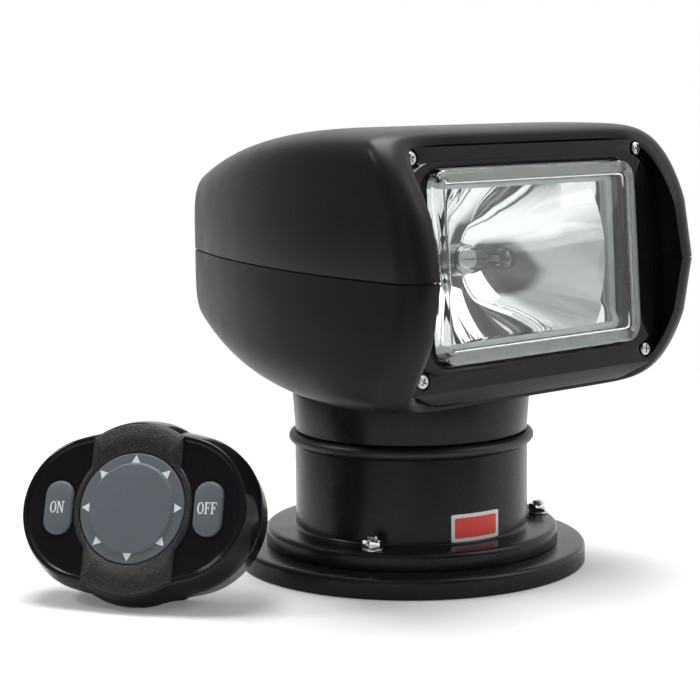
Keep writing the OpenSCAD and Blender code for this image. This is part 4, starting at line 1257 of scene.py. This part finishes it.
    def bulb(self) -> None:
        """Quartz envelope round its filament."""
        tip, seat = self.bulb_tip, self.bulb_foot
        profile = [(0.02, tip, 0), (1.6, tip + 0.2, 0.5), (4.2, tip + 2.2, 2.0), (5, tip + 5, 1.5),
                   (5, seat, 0), (4.2, seat, 0), (4.2, tip + 5.4, 1.2), (3.2, tip + 3.2, 1.0),
                   (0.02, tip + 1.6, 0)]
        made = turned("bulb_envelope", rounded(profile, steps=5), segments=64)
        move(made, self.place() @ turn(-90, "X"))
        smooth(made)
        dress(made, BULB_GLASS, Body.HEAD, "bulb_glass", "bulb")

    def _coil_path(self) -> list[Vector]:
        """The filament's middle line: one leg, the wound coil and the other leg."""
        start, seat, r = self.bulb_tip + self.coil_start, self.bulb_foot, self.coil_r
        coil = []
        for i in range(self.coil_steps + 1):
            t = i / self.coil_steps
            a = 2 * math.pi * t * self.coil_turns
            coil.append(Vector((r * math.cos(a), r * math.sin(a), start + self.coil_length * t)))
        return [Vector((r, 0, seat))] + coil[::-1] + [Vector((-r, 0, start - 1)), Vector((-r - 1, 0, seat))]

    def filament(self) -> None:
        """The wound filament on its two legs."""
        path = self._coil_path()
        angles = [2 * math.pi * k / self.wire_sides for k in range(self.wire_sides)]
        rings = []
        for i, p in enumerate(path):
            ahead = (path[min(i + 1, len(path) - 1)] - path[max(i - 1, 0)]).normalized()
            side = ahead.cross(Vector((0, 0, 1)))
            side = side.normalized() if side.length > 1e-3 else Vector((0, 1, 0))
            up = ahead.cross(side)
            rings.append([tuple((p + self.wire_r * (side * math.cos(b) + up * math.sin(b))) * MM)
                          for b in angles])
        made = loft("bulb_filament", rings, capped=True)
        move(made, self.place() @ turn(-90, "X"))
        smooth(made, angle=60)
        dress(made, STAINLESS, Body.HEAD, "stainless")

    def build(self) -> None:
        """Makes the whole lamp."""
        self.reflector()
        self.bulb()
        self.filament()
        self.lens()
        self.gasket()
        self.bezel()
        self.screws()


# The base and the turret


@dataclass
class Pedestal:
    """Mounting plate, base housing, weather seal and turret neck, in millimetres."""

    plate_r: float = 82.5
    plate_t: float = 9.5
    plate_hole: float = 17.0
    flange_r: float = 69.5
    flange_top: float = 17.8
    drum_r: float = 55.25
    drum_wall: float = 3.0
    drum_hole: float = 8.25
    base_top: float = 57.5
    floor_z: float = 13.0
    seal_r: float = 58.1
    seal_h: float = 5.5
    seal_gap: float = 0.4
    skirt_r: float = 51.0
    neck_r: float = 55.0
    neck_top_r: float = 56.2
    neck_z: float = 63.4
    neck_top: float = 82.1
    bolt_r: float = 2.5
    bolt_ring: float = 63.0
    deck_ring: float = 58.0
    screw_hole: float = 2.75
    sink_r: float = 4.87
    head_low: float = 1.0
    head_top: float = 4.5
    hexagon_r: float = 4.62
    thread_pitch: float = 0.4
    thread_depth: float = 0.22
    thread_steps: int = 19
    gland_z: float = 33.8
    gland_face: float = 57.0
    pad_r: float = 10.0
    gland_bore: float = 6.05
    bore_span: Flat = (40.0, 70.0)
    label_left: float = -24.9
    label_right: float = 1.9
    label_low: float = 18.9
    label_high: float = 31.6
    label_border: float = 1.7
    label_t: float = 0.12
    label_out: Flat = (0.02, 0.12)
    label_trim: float = 0.35
    label_steps: int = 24
    sides: int = 224

    def _gland_place(self) -> Matrix:
        """The cable gland's axis, low on the back of the drum."""
        return shift(0, 0, self.gland_z) @ turn(-90, "X")

    def plate(self) -> None:
        """Deck plate with its screw holes and sunk bolt heads."""
        profile = [(self.plate_hole, 0, 0.3), (self.plate_r, 0, 0.6), (self.plate_r, self.plate_t, 2.5),
                   (self.plate_hole, self.plate_t, 0.3)]
        made = turned("deck_plate", rounded(profile, steps=7), self.sides)
        for k in range(6):
            a = math.radians(90 + 60 * k)
            ring = self.bolt_ring if k % 2 == 0 else self.deck_ring
            spot = (ring * math.cos(a), ring * math.sin(a))
            combine(made, round_bar("hole", self.screw_hole, -1, self.plate_t + 1, spot))
            if k % 2 == 0:
                combine(made, round_bar("sink", self.sink_r, -1, self.head_top, spot))
        smooth(made, angle=35)
        dress(made, BASE_PLASTIC, Body.BASE, "base_plastic", "mounting_plate")

    def housing(self) -> None:
        """Flanged drum with the pad of the cable gland."""
        inner = self.drum_r - self.drum_wall
        profile = [(self.drum_hole, self.plate_t, 0.2), (self.flange_r, self.plate_t, 0.6),
                   (self.flange_r, self.flange_top, 2.5), (self.drum_r, self.flange_top, 1.6),
                   (self.drum_r, self.base_top, 0.8), (inner, self.base_top, 0.4), (inner, self.floor_z, 1.0),
                   (self.drum_hole, self.floor_z, 0.2)]
        made = turned("base_drum", rounded(profile, steps=7), self.sides)
        pad = round_bar("pad", self.pad_r, inner + 1, self.gland_face, sides=64)
        bore = round_bar("bore", self.gland_bore, *self.bore_span, sides=64)
        for tool, operation in ((pad, "UNION"), (bore, "DIFFERENCE")):
            move(tool, self._gland_place())
            combine(made, tool, operation)
        smooth(made, angle=35)
        dress(made, BASE_PLASTIC, Body.BASE, "base_plastic", "base_housing")

    def gland(self) -> None:
        """Ribbed rubber cable gland."""
        face = self.gland_face
        profile = [(3.5, 50.25, 0.3), (6, 50.25, 0.5), (6, face, 0), (8.5, face, 0.4), (8.5, 58.4, 0.5),
                   (7.6, 58.7, 0.2), (7.6, 59.1, 0.2), (8.0, 59.4, 0.3), (8.0, 60.5, 0.6), (3.5, 60.5, 0.6)]
        made = turned("gland_bush", rounded(profile, steps=4), segments=72)
        move(made, self._gland_place())
        smooth(made)
        dress(made, SEAL_RUBBER, Body.BASE, "seal_rubber", "cable_gland")

    def seal(self) -> None:
        """Half-round bead between the base and the neck."""
        mid, r = self.base_top + self.seal_h / 2, self.seal_h / 2
        bead = arc((self.seal_r - r, mid), r, -90, 90, 20)
        inner = self.skirt_r + self.seal_gap
        profile = bead + [(inner, self.base_top + self.seal_h), (inner, self.base_top)]
        made = turned("seal_bead", profile, self.sides)
        smooth(made, angle=40)
        dress(made, SEAL_RUBBER, Body.BASE, "seal_rubber", "turret_seal")

    def neck(self) -> None:
        """Turret neck with its skirt, floor and hub."""
        profile = [(10.05, 50, 0.2), (self.skirt_r, 50, 0.6), (self.skirt_r, self.neck_z, 0),
                   (self.neck_r, self.neck_z, 0.9), (self.neck_top_r, self.neck_top, 0.8),
                   (52, self.neck_top, 0.3), (52, 79.1, 0), (47, 79.1, 0), (47, 74.1, 0), (52, 74.1, 0),
                   (52, 66.4, 0), (48.5, 66.4, 0), (48.5, 53, 0.8), (13.5, 53, 0.5), (13.5, 57, 0.4),
                   (10.05, 57, 0.2)]
        made = turned("turret_neck", rounded(profile, steps=5), self.sides)
        smooth(made, angle=35)
        dress(made, NECK_PLASTIC, Body.TURRET, "base_plastic", "turret_shell")

    def _hexagon(self, name: str, low: float, high: float) -> bpy.types.Object:
        """A six-sided prism for a nut or a bolt head."""
        return prism(name, arc((0, 0), self.hexagon_r, 0, 300, 5), low, high)

    def _nut(self) -> bpy.types.Object:
        """A chamfered nut with its bore, on its washer."""
        top, bore = self.flange_top, self.bolt_r
        nut = self._hexagon("nut", top + 1, top + 5)
        dome = turned("dome", [(bore, top + 0.9), (4.8, top + 0.9), (4.8, top + 4.1), (4.0, top + 5.1),
                               (bore, top + 5.1)], segments=48)
        combine(nut, dome, "INTERSECT")
        bevel(nut, width=0.12, angle=25)
        return nut

    def _washer(self) -> bpy.types.Object:
        """A lock washer on the flange."""
        top = self.flange_top
        profile = [(2.55, top, 0.1), (4.75, top, 0.15), (4.75, top + 1, 0.25), (2.55, top + 1, 0.1)]
        return turned("washer", rounded(profile, steps=3), segments=48)

    def _bolt(self) -> bpy.types.Object:
        """A bolt with a hexagonal head under the plate and a threaded end."""
        low, start, tip = self.head_low, self.flange_top - 2, self.flange_top + 6.3
        thread = [(self.bolt_r - self.thread_depth * (i % 2), start + self.thread_pitch * i)
                  for i in range(self.thread_steps)]
        stud = turned("stud", [(0.001, low), (2.3, low)] + thread + [(2.1, tip), (0.001, tip)], segments=32)
        head = self._hexagon("bolt_head", low, self.head_top)
        bevel(head, width=0.2, angle=25)
        return joined("bolt", [stud, head])

    def hardware(self) -> None:
        """Foot bolts with threads, lock washers and chamfered nuts."""
        for name, template, finish, slot, node in (
                ("foot_nuts", self._nut(), CHROME, "bright_chrome", "flange_nuts"),
                ("foot_washers", self._washer(), STAINLESS, "stainless", "lock_washers"),
                ("foot_bolts", self._bolt(), STAINLESS, "stainless", "flange_bolts")):
            pattern = Repeat(name, Layout.RING, template, finish, count=3, radius=self.bolt_ring * MM)
            dress(pattern.build(turn(90, "Z")), finish, Body.BASE, slot, node)

    def _sticker(self, name: str, inset: float, out: float) -> bpy.types.Object:
        """A thin plate bent round the drum, with trimmed corners.

        Args:
            name: the piece's name.
            inset: how much smaller than the label it is.
            out: how far it stands off the drum.

        Returns:
            The object.
        """
        first = math.radians(self.label_left) + inset / self.drum_r
        last = math.radians(self.label_right) - inset / self.drum_r
        near, far = self.drum_r + out, self.drum_r + out + self.label_t
        low, high = self.label_low + inset, self.label_high - inset
        rings = []
        for k in range(self.label_steps + 1):
            a = first + (last - first) * k / self.label_steps
            trim = self.label_trim if k in (0, self.label_steps) else 0.0
            rings.append([(r * MM * math.sin(a), -r * MM * math.cos(a), z * MM) for r, z in (
                (near, low + trim), (far, low + trim), (far, high - trim), (near, high - trim))])
        return loft(name, rings, capped=True)

    def label(self) -> None:
        """Plain red label with a white border."""
        for name, inset, out, finish in (("label_border", 0.0, self.label_out[0], PRINT_WHITE),
                                         ("label_field", self.label_border, self.label_out[1], LABEL_RED)):
            made = self._sticker(name, inset, out)
            smooth(made)
            dress(made, finish, Body.BASE, "base_plastic")

    def build(self) -> None:
        """Makes the base and the turret."""
        self.plate()
        self.housing()
        self.gland()
        self.seal()
        self.neck()
        self.hardware()
        self.label()


# The hand control


@dataclass
class HandControl:
    """The oval hand control, in millimetres, in its own frame: x along its face, z up it, y into its case."""

    at: Point = (-147.6, 21.4, 42.933)
    yaw: float = -60.2
    lean: float = 23.5
    roll: float = -2.75
    half_l: float = 53.0
    half_h: float = 35.2
    end_r: float = 32.5
    lobe_r: float = 36.0
    lobe_h: float = 39.0
    taper: float = 0.935
    flare: float = 2.7
    front_d: float = 12.0
    back_d: float = 18.0
    gap: float = 0.8
    wall: float = 2.0
    panel: float = 4.0
    lip_rise: float = 0.6
    lip_inset: float = 1.3
    ground: float = 0.02
    band_half: float = 21.4
    band_rise: float = 1.2
    band_edge: float = 3.5
    band_inset: float = 1.0
    pad_r: float = 24.5
    pad_proud: float = 3.0
    pad_step: float = 0.78
    pointer_ring: float = 0.885
    pointer_low: float = 1.55
    pointer_t: float = 0.16
    key_gap: float = 0.4
    key_x: float = 35.3
    key_half: Flat = (6.6, 12.0)
    key_corner: float = 6.3
    key_proud: float = 1.8
    key_end: float = 8.1
    key_cut: Flat = (-4.0, 9.0)
    letter_h: float = 5.2
    letter_squeeze: float = 0.82
    letter_gap: float = 0.12
    letter_sunk: float = 0.05
    letter_proud: float = 0.1
    boss: Flat = (27.0, 23.0)
    sink_r: float = 2.25
    door_half: Flat = (18.0, 9.0)
    door_corner: float = 3.2
    door_gap: float = 0.25
    segments: int = 360

    def place(self) -> Matrix:
        """The control's own frame in the shared one."""
        tilted = turn(self.yaw, "Z") @ turn(-self.lean, "X")
        return Matrix.Translation(Vector(self.at) * MM) @ tilted @ turn(self.roll, "Y")

    def reach(self, a: float, grow: float) -> float:
        """Reach of the case's outline in a direction.

        Args:
            a: the direction in the face, in radians.
            grow: how much larger than the face it is.

        Returns:
            The distance from the middle, in millimetres.
        """
        c, s = abs(math.cos(a)), abs(math.sin(a))
        end_x = self.half_l - self.end_r
        drop = (end_x ** 2 - (self.half_h - self.end_r) ** 2) / (2 * (self.half_h - self.end_r))
        side_r = self.half_h + drop
        clip = end_x + self.end_r * end_x / (side_r - self.end_r)
        inside = (self.end_r + grow) ** 2 - (end_x * s) ** 2
        ends = end_x * c + math.sqrt(inside) if inside > 0 else 0.0
        flank = -drop * s + math.sqrt((side_r + grow) ** 2 - (drop * c) ** 2)
        flank = min(flank, clip / max(c, TINY))
        rise = self.lobe_h - self.lobe_r
        lobe = rise * s + math.sqrt((self.lobe_r + grow) ** 2 - (rise * c) ** 2)
        lobe = min(lobe, self.half_h / max(c, TINY))
        return max(ends, flank, lobe)

    def _hole(self, a: float) -> float:
        """Reach of the opening round the pad, the same in every direction."""
        return self.pad_r + self.key_gap

    def _band_reach(self, a: float) -> float:
        """Reach of the raised band in a direction."""
        across = self.band_half / max(abs(math.cos(a)), TINY)
        return min(self.reach(a, -self.band_inset), max(across, self.pad_r + self.band_edge))

    def _ring(self, rule: Callable[[float], float], y: float, grow: float = 0.0) -> Ring:
        """A ring at a depth whose reach is a rule's, grown."""
        return around(lambda a: rule(a) + grow, y, self.segments)

    def _edge(self, grow: float, y: float, size: float = 1.0) -> Ring:
        """The case's outline, grown, at a depth."""
        return around(lambda a: self.reach(a, grow), y, self.segments, size)

    def front(self) -> None:
        """Front case: glossy wings inside a sloped rim."""
        top, flare = self.front_d - self.gap / 2, self.flare
        steps = [(-3.6, 0.3), (-3.1, 0.2), (-2.5, -0.4), (-1.8, -0.7), (-1.0, -0.6), (-0.3, -0.1), (0.0, 0.9),
                 (1.5, 4.6), (2.5, 8.6), (flare, 9.6), (flare, top - 0.4), (flare - 0.4, top), (-1.0, top),
                 (-self.wall, self.panel)]
        rings = [self._ring(self._hole, y) for y in (self.panel, 0.0)]
        made = loft("control_front", rings + [self._edge(grow, y) for grow, y in steps])
        half = (self.key_half[0] + self.key_gap, self.key_half[1] + self.key_gap)
        outline = oblong(half, self.key_corner + self.key_gap, arcs=10, edges=2)
        for side in (-1, 1):
            combine(made, slab("key_cut", outline, *self.key_cut, side * self.key_x))
        move(made, self.place())
        smooth(made, angle=42)
        dress(made, GLOSS_BLACK, Body.CONTROL, "gloss_black", "remote_front")

    def band(self) -> None:
        """Raised band of etched plastic across the middle, widening round the pad."""
        up, hole, band = -self.band_rise, self._hole, self._band_reach
        rings = [self._ring(hole, 0.2), self._ring(hole, up + 0.3), self._ring(hole, up, 0.3),
                 self._ring(band, up, -0.7), self._ring(band, up + 0.35, -0.2), self._ring(band, 0.2)]
        made = loft("control_band", rings)
        move(made, self.place())
        smooth(made, angle=50)
        dress(made, BAND_BLACK, Body.CONTROL, "gloss_black")

    def back(self) -> None:
        """Tapered back case with its inner lip, screw sinks and the battery door's opening."""
        first, last = self.front_d + self.gap / 2, self.front_d + self.back_d
        tip = self.front_d - self.gap / 2 - self.lip_rise
        wall, lip, flare = -self.wall, -self.lip_inset, self.flare
        steps = [(wall, last + wall), (wall - 0.1, tip), (lip, tip), (lip, first), (flare - 0.5, first),
                 (flare, first + 0.5), (flare, last - 2), (flare - 0.5, last - 0.7), (flare - 1.8, last)]
        rings = []
        for grow, y in steps:
            narrow = (1 - self.taper) * max(0.0, y - first) / self.back_d
            rings.append(self._edge(grow, y, 1 - narrow))
        made = loft("control_back", rings, capped=True)
        for sx, sz in QUARTERS:
            spot = (sx * self.boss[0], -sz * self.boss[1])
            sink = round_bar("sink", self.sink_r, last - 2, last + 2, spot)
            move(sink, turn(-90, "X"))
            combine(made, sink)
        half = (self.door_half[0] + self.door_gap, self.door_half[1] + self.door_gap)
        outline = oblong(half, self.door_corner, arcs=6, edges=2)
        combine(made, slab("door_cut", outline, last - 6, last + 2))
        move(made, self.place())
        for vertex in made.data.vertices:
            vertex.co.z = max(vertex.co.z, self.ground * MM)
        smooth(made, angle=42)
        dress(made, CASE_BLACK, Body.CONTROL, "case_black", "remote_back")

    def pad(self) -> None:
        """Round direction pad with a stepped face and its pointers."""
        r, up, step = self.pad_r, self.pad_proud, self.pad_step * self.pad_r
        profile = [(0.02, -2, 0), (r, -2, 0.3), (r, up - 1.5, 0.7), (step + 1.0, up - 1.5, 0.5),
                   (step, up - 0.2, 0.5), (step * 0.6, up, 0), (0.02, up + 0.02, 0)]
        made = turned("pad_disc", rounded(profile, steps=5), segments=160)
        stand = self.place() @ turn(90, "X")
        move(made, stand)
        smooth(made, angle=30)
        dress(made, KEY_GREY, Body.PAD, "key_grey", "direction_pad")
        low = up - self.pointer_low
        arrow = prism("arrow", [(1.85, 0), (-1.75, 2.05), (-1.75, -2.05)], low, low + self.pointer_t)
        marks = Repeat("pad_pointers", Layout.RING, arrow, PRINT_WHITE, count=8,
                       radius=self.pointer_ring * r * MM).build(stand)
        dress(marks, PRINT_WHITE, Body.PAD, "key_grey")

    @staticmethod
    def _letter(sign: str) -> list[list[Flat]]:
        """Outlines of a letter, one unit high: the outer one, then any hole."""
        thin, stem, serif = 0.08, 0.19, 0.09
        if sign == "O":
            angles = [2 * math.pi * k / 32 for k in range(32)]
            return [[(0.36 + wide * math.cos(a), 0.5 + high * math.sin(a)) for a in angles]
                    for wide, high in ((0.36, 0.5), (0.2, 0.43))]
        if sign == "N":
            return [[(-serif, 0), (0.22, 0), (0.22, thin), (0.11, thin), (0.11, 0.78), (0.52, 0), (0.64, 0),
                     (0.64, 1 - thin), (0.74, 1 - thin), (0.74, 1), (0.44, 1), (0.44, 1 - thin),
                     (0.55, 1 - thin), (0.55, 0.28), (0.16, 1), (-serif, 1), (-serif, 1 - thin),
                     (0.02, 1 - thin), (0.02, thin), (-serif, thin)]]
        left = -serif * 0.6
        return [[(left, 0), (0.27, 0), (0.27, thin), (stem, thin), (stem, 0.46), (0.36, 0.46), (0.36, 0.36),
                 (0.42, 0.36), (0.42, 0.66), (0.36, 0.66), (0.36, 0.54), (stem, 0.54), (stem, 1 - thin),
                 (0.46, 1 - thin), (0.5, 0.76), (0.56, 0.76), (0.54, 1), (left, 1), (left, 1 - thin),
                 (0.03, 1 - thin), (0.03, thin), (left, thin)]]

    def _word(self, name: str, word: str, middle: float, top: float) -> bpy.types.Object:
        """A word as thin raised letters on a key.

        Args:
            name: the piece's name.
            word: what it says.
            middle: its place along the face.
            top: the depth of the key's face.

        Returns:
            The object, in the control's frame.
        """
        widths = {"O": 0.72, "N": 0.78, "F": 0.56}
        cursor = -(sum(widths[c] for c in word) + self.letter_gap * (len(word) - 1)) / 2
        low, high = top + self.letter_sunk, top - self.letter_proud
        parts = []
        for k, sign in enumerate(word):
            loops = [[(middle + (cursor + u) * self.letter_h * self.letter_squeeze, (v - 0.5) * self.letter_h)
                      for u, v in loop] for loop in self._letter(sign)]
            rings = [at_depth(loops[0], low), at_depth(loops[0], high)]
            rings += [at_depth(hole, y) for hole in loops[1:] for y in (high, low)]
            parts.append(loft(f"{name}_{k}", rings, capped=len(loops) == 1))
            cursor += widths[sign] + self.letter_gap
        return joined(name, parts)

    def keys(self) -> None:
        """The two push keys with their crowned faces, rims, stems and words."""
        top = -self.key_proud
        steps = [(6.0, top - 0.28), (4.6, top - 0.24), (3.0, top - 0.14), (1.4, top + 0.05), (0.6, top + 0.3),
                 (0.15, top + 0.75), (0.0, top + 1.3), (0.0, 4.2), (-1.4, 4.2), (-1.4, 5.4), (3.2, 5.4),
                 (3.2, self.key_end)]
        for side, body, word in ((-1, Body.ON_KEY, "ON"), (1, Body.OFF_KEY, "OFF")):
            middle, name = side * self.key_x, word.lower()
            rings = []
            for inset, y in steps:
                corner = max(0.1, self.key_corner - inset)
                half = (max(self.key_half[0] - inset, corner), self.key_half[1] - inset)
                rings.append(at_depth(oblong(half, corner, arcs=10, edges=6), y, middle))
            made = loft(f"{name}_key", rings, capped=True)
            move(made, self.place())
            smooth(made, angle=34)
            dress(made, KEY_GREY, body, "key_grey", body.value)
            text = self._word(f"{name}_word", word, middle, top - 0.2)
            move(text, self.place())
            dress(text, PRINT_WHITE, body, "key_grey")

    def build(self) -> None:
        """Makes the whole control."""
        self.front()
        self.band()
        self.back()
        self.pad()
        self.keys()


# The studio


@dataclass(frozen=True)
class SoftLamp:
    """A soft rectangular lamp, in metres and watts."""

    name: str
    place: Point
    aim: Point
    size: Flat
    power: float

    def build(self) -> None:
        """Puts the lamp in its place, turned to its aim."""
        light = bpy.data.lights.new(self.name, "AREA")
        light.shape = "RECTANGLE"
        light.size, light.size_y = self.size
        light.energy = self.power
        made = bpy.data.objects.new(self.name, light)
        bpy.context.scene.collection.objects.link(made)
        made.location = self.place
        made.rotation_euler = (Vector(self.aim) - Vector(self.place)).to_track_quat("-Z", "Y").to_euler()


@dataclass(frozen=True)
class DimSide:
    """A side of the room that reflections see darker."""

    towards: Point
    start: float
    slope: float
    depth: float


@dataclass
class Studio:
    """Camera, lamps, world and floor; the camera in millimetres and pixels, the floor in metres."""

    azimuth: float = -42.0
    elevation: float = 7.645
    distance: float = 925.2
    aim_side: float = -28.96
    aim_z: float = 100.39
    roll: float = -0.652
    focal_px: float = 1952.76
    centre_px: Flat = (349.3, 349.96)
    image_px: float = 700.0
    sensor: float = 36.0
    room_light: float = 0.30
    dim_sides: tuple[DimSide, ...] = (
        DimSide((-0.755, 0.604, 0.252), 0.45, 3.7, 0.80),
        DimSide((-0.852, -0.501, 0.150), 0.45, 6.7, 0.55),
        DimSide((-0.100, -0.970, 0.220), 0.76, 16.0, 0.90),
    )
    floor_half: float = 6.0
    floor_z: float = -0.0002
    floor_level: float = 0.82
    floor_glow: float = 0.14
    floor_rough: float = 0.6
    floor_grain: float = 0.3
    floor_grain_gloss: float = 0.1
    floor_specular: float = 0.2
    floor_fade: Flat = (1.9, 3.2)
    lamps: tuple[SoftLamp, ...] = (
        SoftLamp("key", (0.20, 0.25, 1.60), (0, 0, 0), (1.1, 1.1), 36),
        SoftLamp("left", (-1.2, 1.0, 1.4), (0, 0, 0.1), (0.35, 0.35), 9),
        SoftLamp("right", (0.55, -0.95, 0.95), (0, 0, 0.1), (0.8, 0.8), 5),
    )

    def camera(self) -> None:
        """The camera at the photograph's viewing angle."""
        az, el = math.radians(self.azimuth), math.radians(self.elevation)
        back = Vector((math.sin(az) * math.cos(el), -math.cos(az) * math.cos(el), math.sin(el)))
        right = Vector((math.cos(az), math.sin(az), 0))
        aim = Vector((self.aim_side * right.x, self.aim_side * right.y, self.aim_z))
        up = back.cross(right)
        c, s = math.cos(math.radians(self.roll)), math.sin(math.radians(self.roll))
        across, upright = right * c + up * s, up * c - right * s
        lens = bpy.data.cameras.new("camera")
        lens.sensor_width = self.sensor
        lens.lens = self.focal_px / self.image_px * self.sensor
        lens.shift_x = (self.image_px / 2 - self.centre_px[0]) / self.image_px
        lens.shift_y = (self.centre_px[1] - self.image_px / 2) / self.image_px
        lens.clip_start, lens.clip_end = 0.05, 50
        made = bpy.data.objects.new("camera", lens)
        bpy.context.scene.collection.objects.link(made)
        axes = Matrix((across, upright, back)).transposed().to_4x4()
        made.matrix_world = Matrix.Translation((aim + back * self.distance) * MM) @ axes
        bpy.context.scene.camera = made

    def world(self) -> None:
        """White to the camera; reflections see a white sweep behind the object and a dim room before it."""
        world = bpy.data.worlds.new("studio")
        world.use_nodes = True
        bpy.context.scene.world = world
        nodes = Nodes(world.node_tree)
        camera = nodes.node("ShaderNodeLightPath", {}, {}, "Is Camera Ray")
        seen = (camera.beside("Is Glossy Ray") + camera.beside("Is Transmission Ray")).clamp()
        way = nodes.node("ShaderNodeTexCoord", {}, {}, "Generated")
        shades = []
        for side in self.dim_sides:
            both = {0: way, 1: side.towards}
            facing = nodes.node("ShaderNodeVectorMath", {"operation": "DOT_PRODUCT"}, both, "Value")
            shades.append(1 - ((facing - side.start) * side.slope).clamp() * side.depth)
        room = math.prod(shades)
        strength = camera + (1 - camera) * (seen * room + (1 - seen) * self.room_light)
        light = nodes.node("ShaderNodeBackground", {}, {"Color": grey(1.0), "Strength": strength})
        nodes.node("ShaderNodeOutputWorld", {}, {"Surface": light})

    def floor(self) -> None:
        """Pale floor that keeps the object's shadow and fades out at a distance."""
        corners = ((-1, -1), (1, -1), (1, 1), (-1, 1))
        points = [(x * self.floor_half, y * self.floor_half, self.floor_z) for x, y in corners]
        made = new_object("floor", points, [[0, 1, 2, 3]])
        material = bpy.data.materials.new("floor_white")
        material.use_nodes = True
        nodes = Nodes(material.node_tree)
        camera = nodes.node("ShaderNodeLightPath", {}, {}, "Is Camera Ray")
        far = nodes.node("ShaderNodeVectorMath", {"operation": "LENGTH"}, {0: nodes.place()}, "Value")
        start, slope = self.floor_fade
        nodes.surface({
            "Base Color": grey(self.floor_level),
            "Roughness": self.floor_rough + nodes.noise(self.floor_grain) * self.floor_grain_gloss,
            "Specular IOR Level": self.floor_specular,
            "Alpha": (start - far * slope).clamp(),
            "Emission Color": nodes.mix(camera, grey(0.0), grey(self.floor_glow)),
            "Emission Strength": 1.0,
        })
        made.data.materials.append(material)

    def build(self) -> None:
        """Sets up the whole studio."""
        self.camera()
        self.world()
        self.floor()
        for lamp in self.lamps:
            lamp.build()
        bpy.context.scene.view_settings.view_transform = "Standard"


def dress_hidden(nodes: dict[str, bpy.types.Object], record: dict[str, Any]) -> None:
    """Gives every node of the frame its slot's finish.

    Args:
        nodes: the loaded nodes by name.
        record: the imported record.
    """
    slots = {p["node"]: p["material_slot"] for p in record["subparts"]}
    for name, node in nodes.items():
        node.data.materials.clear()
        node.data.materials.append(SLOT_FINISH[slots[name]].material())
    LOG.info("finished %d nodes", len(nodes))


def main() -> None:
    """Builds the object and its studio in order."""
    logging.basicConfig(level=logging.INFO, format="%(name)s: %(message)s")
    Studio().build()
    dress_hidden(frame["nodes"], frame["record"])
    Pedestal().build()
    HeadShell().build()
    Lamp().build()
    HandControl().build()


if __name__ == "__main__":
    main()
